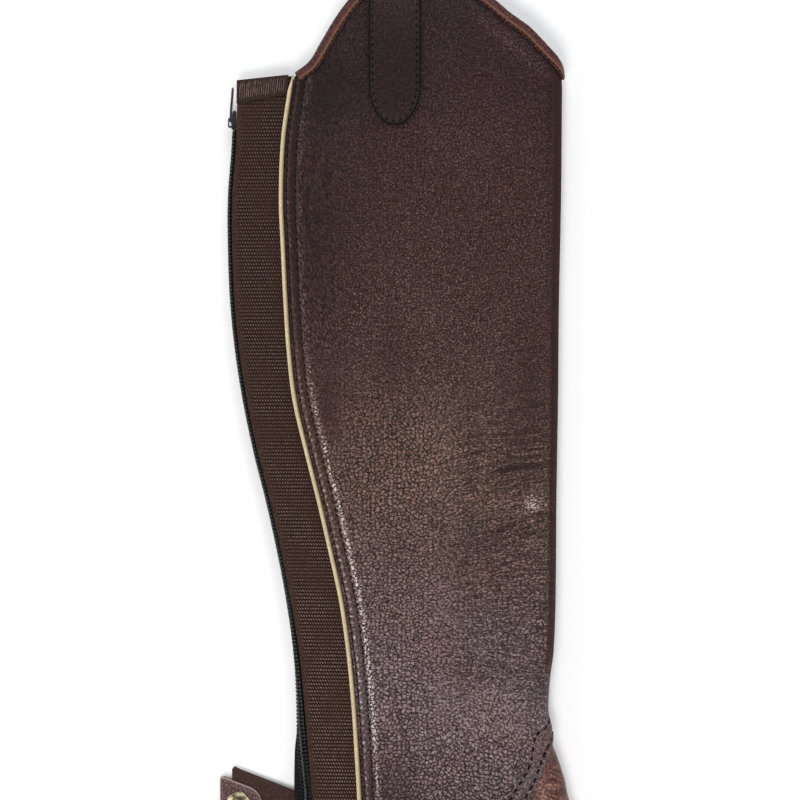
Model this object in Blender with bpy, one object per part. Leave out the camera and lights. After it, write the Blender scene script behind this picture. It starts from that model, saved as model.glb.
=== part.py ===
"""One equestrian half chap, zipped up and lying flat on its inner side (metres, +Z up).

+Y runs up the leg to the peak and +X to the front of the leg. The flattened tube has an upper layer
(the outer side), a round front fold and a lower layer that rests on z = 0. Every panel is a wall
between two depths below one shared skin, so neighbours keep the same gap everywhere.
"""

import math

import bmesh
import bpy
from mathutils import Vector

for old in list(bpy.data.objects):
    bpy.data.objects.remove(old, do_unlink=True)

MM = 0.001

# Driving dimensions, in millimetres.
LEATHER = 1.8
ELASTIC = 1.2
TAPE = 1.0
STRAP = 1.5
SEAM_GAP = 0.3
FOLD_GAP = 0.45
UNDER_LEATHER = LEATHER + SEAM_GAP
FOLD_REACH = 8.0
FOLD_GIRTH = 26.0
FRONT_STRIP = 25.0
PEAK_DROOP = 1.5
DROOP_FROM, DROOP_SPAN = 188.0, 55.0
PIPING_RADIUS = 1.3
PIPING_TOP = 178.2
ELASTIC_UNDER_PANEL = 10.0
BAND_THICK = 0.8
CHAIN_WIDTH = 5.3
CHAIN_THICK = 2.4
CHAIN_TOP, CHAIN_BOTTOM = 150.0, -212.0
CHAIN_SECTION = ((0, 0), (1, 0), (1, 0.75), (0.8, 1), (0.2, 1), (0, 0.75))
TAPE_TOP, TAPE_BOTTOM = 172.5, -228.0
INNER_TAPE_TOP = 170.0
TAPE_PARTING = 0.6
TAPE_UNDER_ELASTIC = 10.0
STRAP_LIFT = 1.8
SLIDER_LENGTH, SLIDER_THICK = 10.0, 2.7
CROWN_WIDTH, CROWN_TOP = 2.0, 4.5
PULL_WIDTH, PULL_THICK, PULL_TIP = 4.5, 1.0, 172.8
HINGE_Y, HINGE_OUT = 154.8, 3.27
BINDING_WIDTH = 5.7
BINDING_THICK = 0.9
BINDING_LIFT_FROM, BINDING_LIFT_SPAN = 12.0, 14.0
INSTEP_REACH = 56.0
LAP_TONGUE = 12.0
LAP_RAMP = 14.0
LAP_SLANT = 1.5
TAB_WIDTH = 27.6
TAB_FOOT, TAB_ROUND = 151.6, 22.0
TAB_CENTRE = -5.4
TAB_THICK = 1.6
SNAP_RADIUS = 6.35
SNAP_SIDES = 28
STRAP_LEAN = math.radians(-21.0)
SNAP_TAB_HALF = 10.0
SNAP_TAB_FOLD = -98.4
SNAP_TAB_ROOT = -55.0

# The leg's outline, top to hem: piping, elastic's rear edge.
LEG = (
    # y, piping_x, elastic_x
    (200, -59.0, -88.6),
    (176, -60.2, -88.8),
    (145, -64.4, -89.4),
    (113, -65.6, -91.6),
    (86, -64.5, -91.5),
    (59, -63.2, -90.4),
    (32, -61.4, -87.7),
    (7, -58.4, -83.8),
    (-20, -52.2, -78.2),
    (-47, -45.4, -71.4),
    (-74, -39.2, -65.4),
    (-99, -33.8, -60.6),
    (-126, -29.9, -56.2),
    (-153, -27.3, -53.5),
    (-180, -25.5, -51.3),
    (-205, -24.1, -49.2),
    (-243, -22.5, -47.0),
)

# The front fold's outline and how high the folded leather stands there.
FRONT = (
    # y, front_x, height
    (243, 83.3, 15.0),
    (176, 83.2, 16.0),
    (113, 82.7, 16.0),
    (59, 81.6, 16.0),
    (7, 81.1, 16.5),
    (-47, 80.2, 17.5),
    (-99, 79.7, 19.0),
    (-126, 78.6, 20.0),
    (-140, 76.8, 20.0),
    (-156, 75.9, 19.5),
    (-165, 77.4, 19.5),
    (-173, 79.4, 19.0),
    (-181, 82.0, 19.0),
    (-193, 84.4, 18.5),
    (-205, 87.0, 18.0),
    (-243, 99.1, 17.0),
)

# How the zip turns over the rear edge, from facing straight back at the top to facing up at the hem.
REAR = (
    # y, tilt_deg, run, bulge, height
    (176, 90, 2.4, 1.1, 12.0),
    (163, 90, 2.4, 1.1, 11.8),
    (148, 90, 2.4, 1.1, 11.0),
    (130, 90, 2.4, 1.1, 10.8),
    (-90, 90, 2.4, 1.1, 10.8),
    (-113, 82, 2.2, 1.1, 10.9),
    (-126, 75, 1.8, 1.3, 11.0),
    (-140, 68, 1.2, 1.7, 11.2),
    (-153, 58, 0.3, 2.4, 11.5),
    (-167, 40, -1.5, 4.0, 11.8),
    (-180, 24, -3.0, 4.4, 12.0),
    (-205, 8, -4.0, 6.2, 12.2),
    (-243, 0, -4.0, 6.2, 12.2),
)

# The end of the lower strap, seen from above, and its straight run under the zip.
STRAP_UNDER = (
    # x, y
    (-90.6, -188.0),
    (-87.5, -189.6),
    (-59.4, -200.6),
    (-46.0, -205.8),
    (-46.0, -226.5),
    (-59.4, -224.0),
    (-92.4, -212.0),
    (-92.0, -189.4),
)
SNAP_CENTRE = (-88.5, -207.2)
SNAP_PROFILE = (
    # radius_share, rise
    (0.94, 0.0),
    (1.0, 0.3),
    (0.97, 0.8),
    (0.84, 1.4),
    (0.6, 1.95),
    (0.3, 2.3),
    (0.06, 2.4),
)

# The bound top edge, measured along the skin from the start of the front fold.
TOP_EDGE = (
    # along, y
    (-134.0, 179.4),
    (-125.6, 186.0),
    (-120.2, 195.0),
    (-115.0, 204.0),
    (-109.7, 212.2),
    (-104.4, 219.0),
    (-94.2, 230.0),
    (-84.2, 238.6),
    (-74.5, 242.6),
    (-64.5, 240.8),
    (-50.2, 233.0),
    (-29.1, 218.9),
    (-19.5, 210.9),
    (-8.9, 203.0),
    (1.3, 192.4),
    (9.4, 184.4),
    (13.0, 182.0),
    (16.8, 185.6),
    (20.5, 190.3),
    (24.8, 195.0),
    (32.0, 199.6),
    (50.0, 201.5),
    (80.0, 200.0),
    (120.0, 191.5),
    (146.0, 181.0),
    (160.0, 177.6),
    (186.0, 176.5),
)

# Hem and instep lap, by distance along the skin from the middle of the front fold.
HEM = (
    # away, y
    (0, -242.7),
    (13, -242.0),
    (49, -238.0),
    (160, -229.5),
    (200, -228.5),
)
LAP = (
    # away, y
    (0.0, -170.5),
    (3.1, -172.3),
    (12.0, -181.3),
    (17.0, -190.3),
    (22.3, -198.8),
    (49.2, -231.6),
    (62.0, -247.0),
)


def smooth(rows, column, at):
    """The value of a table's column at a place, on a smooth curve through the rows."""
    points = sorted((row[0], row[column]) for row in rows)
    at = min(max(at, points[0][0]), points[-1][0])
    last = len(points) - 1
    i = 0
    while i < last - 1 and at > points[i + 1][0]:
        i += 1

    def slope(k):
        before, after = points[max(k - 1, 0)], points[min(k + 1, last)]
        return (after[1] - before[1]) / (after[0] - before[0])

    (x0, v0), (x1, v1) = points[i], points[i + 1]
    span = x1 - x0
    t = (at - x0) / span
    keep = (1 + 2 * t) * (1 - t) ** 2 * v0 + t * t * (3 - 2 * t) * v1
    return keep + span * (t * (1 - t) ** 2 * slope(i) - t * t * (1 - t) * slope(i + 1))


def ease(t):
    t = min(max(t, 0.0), 1.0)
    return t * t * (3 - 2 * t)


def slope_of(curve, at):
    return curve(at + 0.5) - curve(at - 0.5)


def top_edge(along):
    return smooth(TOP_EDGE, 1, along)


def hem(along):
    return smooth(HEM, 1, abs(along - FOLD_GIRTH / 2))


def lap(along):
    return smooth(LAP, 1, abs(along - FOLD_GIRTH / 2))


def below(curve, along, distance):
    """A curve moved down across its own direction, as a seam allowance is."""
    return curve(along) - distance * math.hypot(1, slope_of(curve, along))


def piping_x(y):
    return smooth(LEG, 1, y)


def elastic_x(y):
    return smooth(LEG, 2, y)


def fold_x(y):
    """Where the upper layer starts to turn down at the front."""
    return smooth(FRONT, 1, y) - FOLD_REACH


def skin(along, y, depth=0.0):
    """A point `depth` inside the tube's outer skin.

    `along` is measured across the leg from the start of the front fold: below zero on the upper
    layer, up to FOLD_GIRTH round the fold, and past it on the lower layer.
    """
    height = smooth(FRONT, 2, y)
    if along <= 0:
        x = fold_x(y) + along
        rear = elastic_x(y)
        across = min(max((x - rear) / (fold_x(y) - rear), 0.0), 1.0)
        low = smooth(REAR, 4, y)
        rise = low + (height - low) * math.sin(math.pi / 2 * across)
        droop = PEAK_DROOP * max(0.0, (y - DROOP_FROM) / DROOP_SPAN) ** 2 * ease(-along / 40)
        return Vector((x, y, rise - droop - depth))
    from_edge = top_edge(along) - y - BINDING_LIFT_FROM
    lift = (BINDING_THICK + FOLD_GAP) * ease(1 - from_edge / BINDING_LIFT_SPAN)
    if along < FOLD_GIRTH:
        turn = math.pi * along / FOLD_GIRTH
        x = fold_x(y) + (FOLD_REACH - depth) * math.sin(turn)
        z = height / 2 + (height / 2 - depth) * math.cos(turn)
        return Vector((x, y, z + lift * (1 - math.cos(turn)) / 2))
    return Vector((fold_x(y) - (along - FOLD_GIRTH), y, depth + lift))


def on_upper(x, y, depth=0.0):
    return skin(min(x - fold_x(y), 0.0), y, depth)


def on_lower(x, y, depth=0.0):
    return skin(FOLD_GIRTH + fold_x(y) - x, y, depth)


def finish(name, mesh, colour, roughness, metallic=0.0):
    """Closes off a mesh as a named object with its own material."""
    bmesh.ops.remove_doubles(mesh, verts=mesh.verts, dist=1e-6)
    bmesh.ops.recalc_face_normals(mesh, faces=mesh.faces)
    if mesh.calc_volume(signed=True) < 0:
        bmesh.ops.reverse_faces(mesh, faces=mesh.faces)
    data = bpy.data.meshes.new(name)
    mesh.to_mesh(data)
    mesh.free()
    data.shade_smooth()
    data.set_sharp_from_angle(angle=math.radians(40))
    material = bpy.data.materials.new(name)
    material.use_nodes = True
    shader = material.node_tree.nodes["Principled BSDF"]
    shader.inputs["Base Color"].default_value = (*colour, 1.0)
    shader.inputs["Roughness"].default_value = roughness
    shader.inputs["Metallic"].default_value = metallic
    data.materials.append(material)
    piece = bpy.data.objects.new(name, data)
    bpy.context.scene.collection.objects.link(piece)
    return piece


def wall(outer, inner):
    """A closed wall between two grids of points in millimetres, given as lists of rows."""
    mesh = bmesh.new()
    rows, columns = len(outer), len(outer[0])
    out = [[mesh.verts.new(p * MM) for p in row] for row in outer]
    back = [[mesh.verts.new(p * MM) for p in row] for row in inner]
    for j in range(rows - 1):
        for i in range(columns - 1):
            mesh.faces.new((out[j][i], out[j][i + 1], out[j + 1][i + 1], out[j + 1][i]))
            mesh.faces.new((back[j][i], back[j + 1][i], back[j + 1][i + 1], back[j][i + 1]))
    for i in range(columns - 1):
        mesh.faces.new((out[0][i], back[0][i], back[0][i + 1], out[0][i + 1]))
        mesh.faces.new((out[-1][i], out[-1][i + 1], back[-1][i + 1], back[-1][i]))
    for j in range(rows - 1):
        mesh.faces.new((out[j][0], out[j + 1][0], back[j + 1][0], back[j][0]))
        mesh.faces.new((out[j][-1], back[j][-1], back[j + 1][-1], out[j + 1][-1]))
    return mesh


def loft(rings):
    """A closed solid through rings of points in millimetres, capped at both ends."""
    mesh = bmesh.new()
    loops = [[mesh.verts.new(p * MM) for p in ring] for ring in rings]
    count = len(loops[0])
    for first, second in zip(loops, loops[1:]):
        for i in range(count):
            j = (i + 1) % count
            mesh.faces.new((first[i], first[j], second[j], second[i]))
    mesh.faces.new(loops[0][::-1])
    mesh.faces.new(loops[-1])
    bmesh.ops.triangulate(mesh, faces=[f for f in mesh.faces if len(f.verts) > 4])
    return mesh


def steps(count):
    return [i / count for i in range(count + 1)]


# Rows of the leather panels from foot to top, closer under the binding.
PANEL_ROWS = (*steps(26)[:-1], 0.976, 1.0)


def column_ends(along_at, low, high):
    """The lowest and highest y of a column whose place along the skin shifts with height."""
    bottom, top = -235.0, 200.0
    for _ in range(12):
        bottom = low(along_at(bottom))
        top = high(along_at(top))
    return bottom, top


def skin_wall(columns, low, high, rows, outer_depth, inner_depth):
    """A wall on the skin: one function of y for each column, cut to its lower and upper edges."""
    ends = [column_ends(at, low, high) for at in columns]
    grids = ([], [])
    for v in rows:
        for grid, depth in zip(grids, (outer_depth, inner_depth)):
            row = []
            for at, (bottom, top) in zip(columns, ends):
                y = bottom + (top - bottom) * v
                row.append(skin(at(y), y, depth(at(y), y)))
            grid.append(row)
    return wall(*grids)


def bound_top(along):
    """The panels' top edge, inside the binding's fold."""
    return below(top_edge, along, BINDING_THICK + 2 * FOLD_GAP)


def panel_foot(along):
    return max(hem(along), lap(along))


def leather_wall(columns):
    return skin_wall(
        columns, panel_foot, bound_top, PANEL_ROWS, lambda a, y: 0.0, lambda a, y: LEATHER
    )


def panel_start(y):
    """The outer panel's sewn edge, beside the piping, as a place along the skin."""
    return piping_x(y) + PIPING_RADIUS + SEAM_GAP - fold_x(y)


def outer_panel():
    def upper(share):
        return lambda y: panel_start(y) * (1 - share)

    def fixed(along):
        return lambda y: along

    columns = [upper(share) for share in steps(22)]
    columns += [fixed(FOLD_GIRTH * turn) for turn in steps(14)[1:]]
    columns += [fixed(FOLD_GIRTH + FRONT_STRIP * share) for share in steps(3)[1:]]
    mesh = leather_wall(columns)
    return finish("outer_panel", mesh, (0.10, 0.055, 0.045), 0.5)


def rear_run(y):
    """Where the zip's inner tape starts its flat run on the inner panel."""
    return elastic_x(y) - SEAM_GAP + smooth(REAR, 2, y)


def inner_panel():
    start = FOLD_GIRTH + FRONT_STRIP + SEAM_GAP

    def between(share):
        def at(y):
            end = FOLD_GIRTH + fold_x(y) - (rear_run(y) - 1.0)
            return start + (end - start) * share

        return at

    columns = [between(share) for share in steps(8)]
    mesh = leather_wall(columns)
    return finish("inner_panel", mesh, (0.09, 0.05, 0.042), 0.55)


def instep_depth(along, y):
    """One layer in under the lap, easing out to the skin below it."""
    past = (lap(along) - y) / LAP_SLANT - 3.0
    return UNDER_LEATHER * (1 - ease(past / LAP_RAMP))


def instep_piece():
    middle = FOLD_GIRTH / 2
    beside = (5.0, 12.0, 20.0, 28.0, 36.0)
    places = [middle - INSTEP_REACH, *(-a for a in reversed(beside))]
    places += [FOLD_GIRTH * turn for turn in steps(14)]
    places += [*(FOLD_GIRTH + a for a in beside), middle + INSTEP_REACH]
    columns = [lambda y, a=a: a for a in places]

    def tongue(along):
        return below(lap, along, -LAP_TONGUE)

    mesh = skin_wall(
        columns, hem, tongue, steps(12), instep_depth, lambda a, y: instep_depth(a, y) + LEATHER
    )
    return finish("instep_piece", mesh, (0.13, 0.055, 0.035), 0.42)


def elastic_hem(share):
    """The garment's lower edge under the elastic, from the zip (0) to the piping (1)."""
    return hem(-145 + 30 * share)


def elastic_panel():
    """Visible from the zip to the piping, then cut away at the top where it runs under the panel."""
    under_panel = PIPING_RADIUS + SEAM_GAP + ELASTIC_UNDER_PANEL
    columns = (
        # share of the visible width, run past the piping, top
        (0, 0, 175.2),
        (1 / 3, 0, 176.2),
        (2 / 3, 0, 177.2),
        (1, 0, 178.2),
        (1, 2.5, 171.5),
        (1, under_panel, 166.0),
    )
    grids = ([], [])
    for v in steps(30):
        for grid, depth in zip(grids, (UNDER_LEATHER, UNDER_LEATHER + ELASTIC)):
            row = []
            for share, past, top in columns:
                bottom = elastic_hem(share) + 0.4
                y = bottom + (top - bottom) * v
                left, seam = elastic_x(y), piping_x(y)
                row.append(on_upper(left + (seam - left) * share + past, y, depth))
            grid.append(row)
    return finish("elastic_panel", wall(*grids), (0.075, 0.045, 0.035), 0.8)


def elastic_band(name, low, high):
    """A flat band sewn over one end of the elastic, up to the piping."""
    bottom = UNDER_LEATHER - SEAM_GAP
    grids = ([], [])
    for v in steps(3):
        for grid, depth in zip(grids, (bottom - BAND_THICK, bottom)):
            row = []
            for share in steps(5):
                y = low(share) + (high(share) - low(share)) * v
                left = elastic_x(y) + 0.4
                right = piping_x(y) - PIPING_RADIUS - SEAM_GAP
                row.append(on_upper(left + (right - left) * share, y, depth))
            grid.append(row)
    return finish(name, wall(*grids), (0.09, 0.05, 0.045), 0.75)


def piping():
    bottom, upright = hem(-110) + 0.3, Vector((0, 0, 1))
    turns = [2 * math.pi * k / 10 for k in range(10)]
    rings = []
    for v in steps(40):
        y = PIPING_TOP + (bottom - PIPING_TOP) * v
        centre = on_upper(piping_x(y), y, LEATHER - PIPING_RADIUS)
        side = Vector((1, -slope_of(piping_x, y), 0)).normalized()
        spokes = [math.cos(turn) * side + math.sin(turn) * upright for turn in turns]
        rings.append([centre + PIPING_RADIUS * spoke for spoke in spokes])
    return finish("piping", loft(rings), (0.62, 0.5, 0.32), 0.6)


def zip_frame(y):
    """The chain's inner upper corner, the direction across it and the way it faces."""
    tilt = math.radians(smooth(REAR, 1, y))
    corner = Vector((elastic_x(y) - SEAM_GAP, y, smooth(REAR, 4, y) - UNDER_LEATHER - ELASTIC))
    across = Vector((-math.cos(tilt), 0, -math.sin(tilt)))
    facing = Vector((-math.sin(tilt), 0, math.cos(tilt)))
    return corner, across, facing


def bezier(points, t):
    a, b, c, d = points
    u = 1 - t
    return u**3 * a + 3 * u * u * t * b + 3 * u * t * t * c + t**3 * d


def tape_wall(name, path, top, bottom, rows):
    """A tape whose outer face follows path(y) in each section, one tape thickness thick."""
    grids = ([], [])
    for v in steps(rows):
        y = bottom + (top - bottom) * v
        points = path(y)
        inner = []
        for k, point in enumerate(points):
            run = points[min(k + 1, len(points) - 1)] - points[max(k - 1, 0)]
            inward = Vector((run.z, 0, -run.x)).normalized()
            inner.append(point + TAPE * inward)
        grids[0].append(points)
        grids[1].append(inner)
    return finish(name, wall(*grids), (0.012, 0.012, 0.014), 0.8)


def outer_tape_path(y):
    """From the chain's middle up and back under the elastic."""
    corner, across, facing = zip_frame(y)
    middle = corner + (CHAIN_WIDTH / 2 - TAPE_PARTING) * across - FOLD_GAP * facing
    depth = UNDER_LEATHER + ELASTIC + SEAM_GAP
    shoulder = on_upper(elastic_x(y) + 3.5, y, depth)
    handles = (middle, middle - 1.4 * across, shoulder - Vector((2.2, 0, 0)), shoulder)
    points = [bezier(handles, t) for t in steps(5)]
    points.append(on_upper(elastic_x(y) + TAPE_UNDER_ELASTIC, y, depth))
    return points


def inner_tape_path(y):
    """From the flat run on the inner panel, round the rear edge to the chain's middle."""
    corner, across, facing = zip_frame(y)
    middle = corner + (CHAIN_WIDTH / 2 + TAPE_PARTING) * across - FOLD_GAP * facing
    turn = middle + (0.3 + 1.7 * ease((80 - smooth(REAR, 1, y)) / 40)) * across
    bulge = smooth(REAR, 3, y)
    rest = UNDER_LEATHER + 0.45 * ease((y - 125) / 12) + STRAP_LIFT * ease((-178 - y) / 16)
    landing = on_lower(rear_run(y), y, rest)
    reach = min(bulge, 0.45 * (turn.z - landing.z) / max(-across.z, 0.05))
    handles = (landing, landing - Vector((bulge, 0, 0)), turn + reach * across, turn)
    points = [on_lower(rear_run(y) + run, y, rest) for run in (8.0, 3.0)]
    points += [bezier(handles, t) for t in steps(6)]
    return [*points, middle]


def zip_chain():
    rings = []
    for v in steps(44):
        y = CHAIN_BOTTOM + (CHAIN_TOP - CHAIN_BOTTOM) * v
        corner, across, facing = zip_frame(y)
        wide, thick = CHAIN_WIDTH * across, CHAIN_THICK * facing
        rings.append([corner + a * wide + f * thick for a, f in CHAIN_SECTION])
    return finish("zip_chain", loft(rings), (0.01, 0.011, 0.014), 0.35)


def in_zip_frame(y):
    """Turns (across, along the leg, outward) in millimetres into world places at one height."""
    corner, across, facing = zip_frame(y)

    def place(a, b, out):
        return corner + a * across + Vector((0, b, 0)) + out * facing

    return place


def prism(outline, place, low, high):
    """A solid of one outline of (along, out) pairs, extruded across the zip."""
    return loft([[place(a, b, out) for b, out in outline] for a in (low, high)])


def joined(name, meshes, colour, roughness, operation="UNION"):
    """The first mesh with the others added to it or cut from it, as one object."""
    base = finish(name, meshes[0], colour, roughness)
    for k, mesh in enumerate(meshes[1:]):
        tool = finish(f"{name}_tool_{k}", mesh, colour, roughness)
        tool.hide_render = True
        tool.display_type = "WIRE"
        step = base.modifiers.new(f"join_{k}", "BOOLEAN")
        step.operation = operation
        step.object = tool
    return base


def zip_slider():
    """A wedge over the closed chain's end with an arched crown that holds the pull."""
    place = in_zip_frame(CHAIN_TOP)
    start, end = SEAM_GAP, SEAM_GAP + SLIDER_LENGTH
    body = (
        (start, 0.1),
        (end, 0.1),
        (end, 1.7),
        (end - 4.5, SLIDER_THICK),
        (start + 0.8, SLIDER_THICK),
        (start, SLIDER_THICK - 0.6),
    )
    crown_low, crown_high = 1.5, 6.6
    crown = (
        (crown_low, SLIDER_THICK - 0.4),
        (crown_low + 1.0, SLIDER_THICK - 0.4),
        (crown_low + 1.0, CROWN_TOP - 0.65),
        (crown_high - 1.0, CROWN_TOP - 0.65),
        (crown_high - 1.0, SLIDER_THICK - 0.7),
        (crown_high, SLIDER_THICK - 0.7),
        (crown_high, CROWN_TOP - 0.5),
        (crown_high - 0.7, CROWN_TOP),
        (crown_low + 0.7, CROWN_TOP),
        (crown_low, CROWN_TOP - 0.5),
    )
    low = CHAIN_WIDTH / 2 - CROWN_WIDTH / 2
    meshes = (prism(body, place, 0.05, 5.6), prism(crown, place, low, low + CROWN_WIDTH))
    return joined("zip_slider", meshes, (0.012, 0.012, 0.014), 0.35)


def zip_pull():
    """A flat tab folded up along the tape, its cross-bar through the slider's crown."""
    place = in_zip_frame(CHAIN_TOP)
    hinge_y = HINGE_Y - CHAIN_TOP
    lean = (HINGE_OUT - 1.9) / (PULL_TIP - HINGE_Y)
    low = CHAIN_WIDTH / 2 - PULL_WIDTH / 2

    def leaned(y, out):
        return y, out - lean * (y - hinge_y)

    tip, bar, half, rim = PULL_TIP - CHAIN_TOP, 0.35, PULL_THICK / 2, 0.8
    neck, shoulder = hinge_y + 3.0, hinge_y + 4.5
    under = ((hinge_y - bar, -bar), (neck, -bar), (shoulder, -half), (tip, -half))
    over = [(y, -out) for y, out in reversed(under)]
    outline = [leaned(y, HINGE_OUT + out) for y, out in (*under, *over)]
    gap_low, gap_high = hinge_y + bar, hinge_y + 4.2
    gap = ((gap_low, -1.5), (gap_low, 1.5), (gap_high, 1.5), (gap_high, -1.5))
    window = [leaned(y, HINGE_OUT + out) for y, out in gap]
    plate = prism(outline, place, low, low + PULL_WIDTH)
    cut = prism(window, place, low + rim, low + PULL_WIDTH - rim)
    return joined("zip_pull", (plate, cut), (0.02, 0.02, 0.022), 0.4, "DIFFERENCE")


def zip_box():
    """The moulded box that closes the zip's lower end."""
    place = in_zip_frame(CHAIN_BOTTOM)
    outline = (
        (-SEAM_GAP, 0.05),
        (-SEAM_GAP, 2.2),
        (-1.0, 2.8),
        (-8.6, 2.8),
        (-9.4, 2.0),
        (-9.4, 0.05),
    )
    return finish("zip_box", prism(outline, place, 0.0, CHAIN_WIDTH), (0.012, 0.012, 0.014), 0.4)


def top_binding():
    """One leather strip folded over the top edge, from the piping round the fold to the zip."""
    start_y, end_y = 179.5, 176.0
    start = panel_start(start_y)
    end = FOLD_GIRTH + fold_x(end_y) - (rear_run(end_y) - 1.0)
    over, under = -FOLD_GAP, LEATHER + FOLD_GAP
    face, back = over - BINDING_THICK, under + BINDING_THICK
    middle, inner_width, crown = BINDING_WIDTH / 2 + 0.4, BINDING_WIDTH - 1.0, 0.12
    turn_high, turn_low = LEATHER / 2 - 0.9, LEATHER / 2 + 0.9
    profile = (
        # outer face: into the panel, depth; inner face: into the panel, depth
        (BINDING_WIDTH, face * 0.7, BINDING_WIDTH, over),
        (BINDING_WIDTH - 0.6, face + crown, BINDING_WIDTH - 0.6, over),
        (middle, face, middle, over - crown),
        (1.2, face + crown, 1.6, over),
        (0.0, turn_high, BINDING_THICK, over),
        (0.0, turn_low, BINDING_THICK, under),
        (1.2, back - crown, 1.6, under),
        (middle, back, middle, under + crown),
        (inner_width, back - crown, inner_width, under),
    )
    places = [start * (1 - share) for share in steps(30)]
    places += [FOLD_GIRTH * k / 28 for k in (2, 4, 6, *range(8, 19), 20, 22, 24, 26, 28)]
    places += [FOLD_GIRTH + (end - FOLD_GIRTH) * share for share in steps(16)[1:]]
    grids = ([], [])
    for along in places:
        rise = slope_of(top_edge, along)
        length = math.hypot(1, rise)
        edge = top_edge(along)
        for grid, k in zip(grids, (0, 2)):
            row = []
            for point in profile:
                into, depth = point[k] / length, point[k + 1]
                row.append(skin(along + into * rise, edge - into, depth))
            grid.append(row)
    return finish("top_binding", wall(*grids), (0.12, 0.045, 0.03), 0.45)


def top_tab():
    """A flat leather tab sewn on from the peak, with a long round foot."""
    half, peak_y = TAB_WIDTH / 2, 230.0
    grids = ([], [])
    for v in steps(10):
        for grid, depth in zip(grids, (-SEAM_GAP - TAB_THICK, -SEAM_GAP)):
            row = []
            for k in range(13):
                lean = math.radians(-90 + 15 * k)
                x = TAB_CENTRE + half * math.sin(lean)
                low = TAB_FOOT + TAB_ROUND * (1 - math.cos(lean))
                high = below(top_edge, x - fold_x(peak_y), BINDING_WIDTH + 2 * SEAM_GAP)
                row.append(on_upper(x, low + (high - low) * v, depth))
            grid.append(row)
    return finish("top_tab", wall(*grids), (0.09, 0.05, 0.042), 0.5)


def strap_under():
    """The lower strap, flat between the inner panel and the zip."""
    low = UNDER_LEATHER
    rings = [[Vector((x, y, z)) for x, y in STRAP_UNDER] for z in (low, low + STRAP)]
    return finish("strap_under", loft(rings), (0.10, 0.055, 0.042), 0.6)


def snap_tab():
    """A tab from the inner side, folded round the strap's end and back over it."""
    run, rise = math.cos(STRAP_LEAN), math.sin(STRAP_LEAN)
    top = 2 * UNDER_LEATHER - SEAM_GAP + STRAP
    radius, round_from, root_taper = top / 2, 2.5, 1.5

    def flat(e, f):
        return SNAP_CENTRE[0] + e * run - f * rise, SNAP_CENTRE[1] + e * rise + f * run

    def reach(x, f):
        return (x - SNAP_CENTRE[0] + f * rise) / run

    outer, inner = [], []
    for v in (-1.0, -0.5, 0.0, 0.5, 1.0):
        front, back = [], []
        for share in steps(3):
            f = v * (SNAP_TAB_HALF - root_taper * (1 - share))
            e = reach(SNAP_TAB_ROOT + (SNAP_TAB_FOLD + radius - SNAP_TAB_ROOT) * share, f)
            front.append(Vector((*flat(e, f), 0)))
            back.append(Vector((*flat(e, f), STRAP)))
        start = reach(SNAP_TAB_FOLD + radius, v * SNAP_TAB_HALF)
        x, y = flat(start, v * SNAP_TAB_HALF)
        for turn in steps(6)[1:]:
            swing = math.pi * turn
            for points, r in ((front, radius), (back, radius - STRAP)):
                points.append(Vector((x - r * math.sin(swing), y, radius - r * math.cos(swing))))
        for lean in (0, 25, 45, 60, 75, 85):
            e = round_from + SNAP_TAB_HALF * math.sin(math.radians(lean))
            f = v * SNAP_TAB_HALF * math.cos(math.radians(lean))
            if lean == 0:
                e = max(e, start + 1.0)
            front.append(Vector((*flat(e, f), top)))
            back.append(Vector((*flat(e, f), top - STRAP)))
        outer.append(front)
        inner.append(back)
    return finish("snap_tab", wall(outer, inner), (0.10, 0.055, 0.042), 0.55)


def snap_cap():
    base = 2 * UNDER_LEATHER + STRAP
    turns = [2 * math.pi * k / SNAP_SIDES for k in range(SNAP_SIDES)]
    rings = []
    for share, rise in SNAP_PROFILE:
        radius = SNAP_RADIUS * share
        centre = Vector((*SNAP_CENTRE, base + rise))
        rings.append([centre + radius * Vector((math.cos(t), math.sin(t), 0)) for t in turns])
    return finish("snap_cap", loft(rings), (0.45, 0.36, 0.2), 0.35, 1.0)


outer_panel()
inner_panel()
instep_piece()
elastic_panel()
elastic_band("elastic_top_band", lambda s: 163.8 + 4.6 * s, lambda s: 176.0 + 2.8 * s)
elastic_band("elastic_bottom_band", elastic_hem, lambda s: elastic_hem(s) + 10.4)
piping()
tape_wall("zip_tape_outer", outer_tape_path, TAPE_TOP, TAPE_BOTTOM, 30)
tape_wall("zip_tape_inner", inner_tape_path, INNER_TAPE_TOP, TAPE_BOTTOM, 30)
zip_chain()
zip_slider()
zip_pull()
zip_box()
top_binding()
top_tab()
strap_under()
snap_tab()
snap_cap()
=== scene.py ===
"""The look of one half chap lying flat on its inner side: leather, elastic, piping, zip and snap.

Lengths are in millimetres until a mesh is made. The tables down to LAP, and the functions of the
skin below them, repeat the solids' own, so that each piece lies where its solid does.
"""

import math

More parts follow.
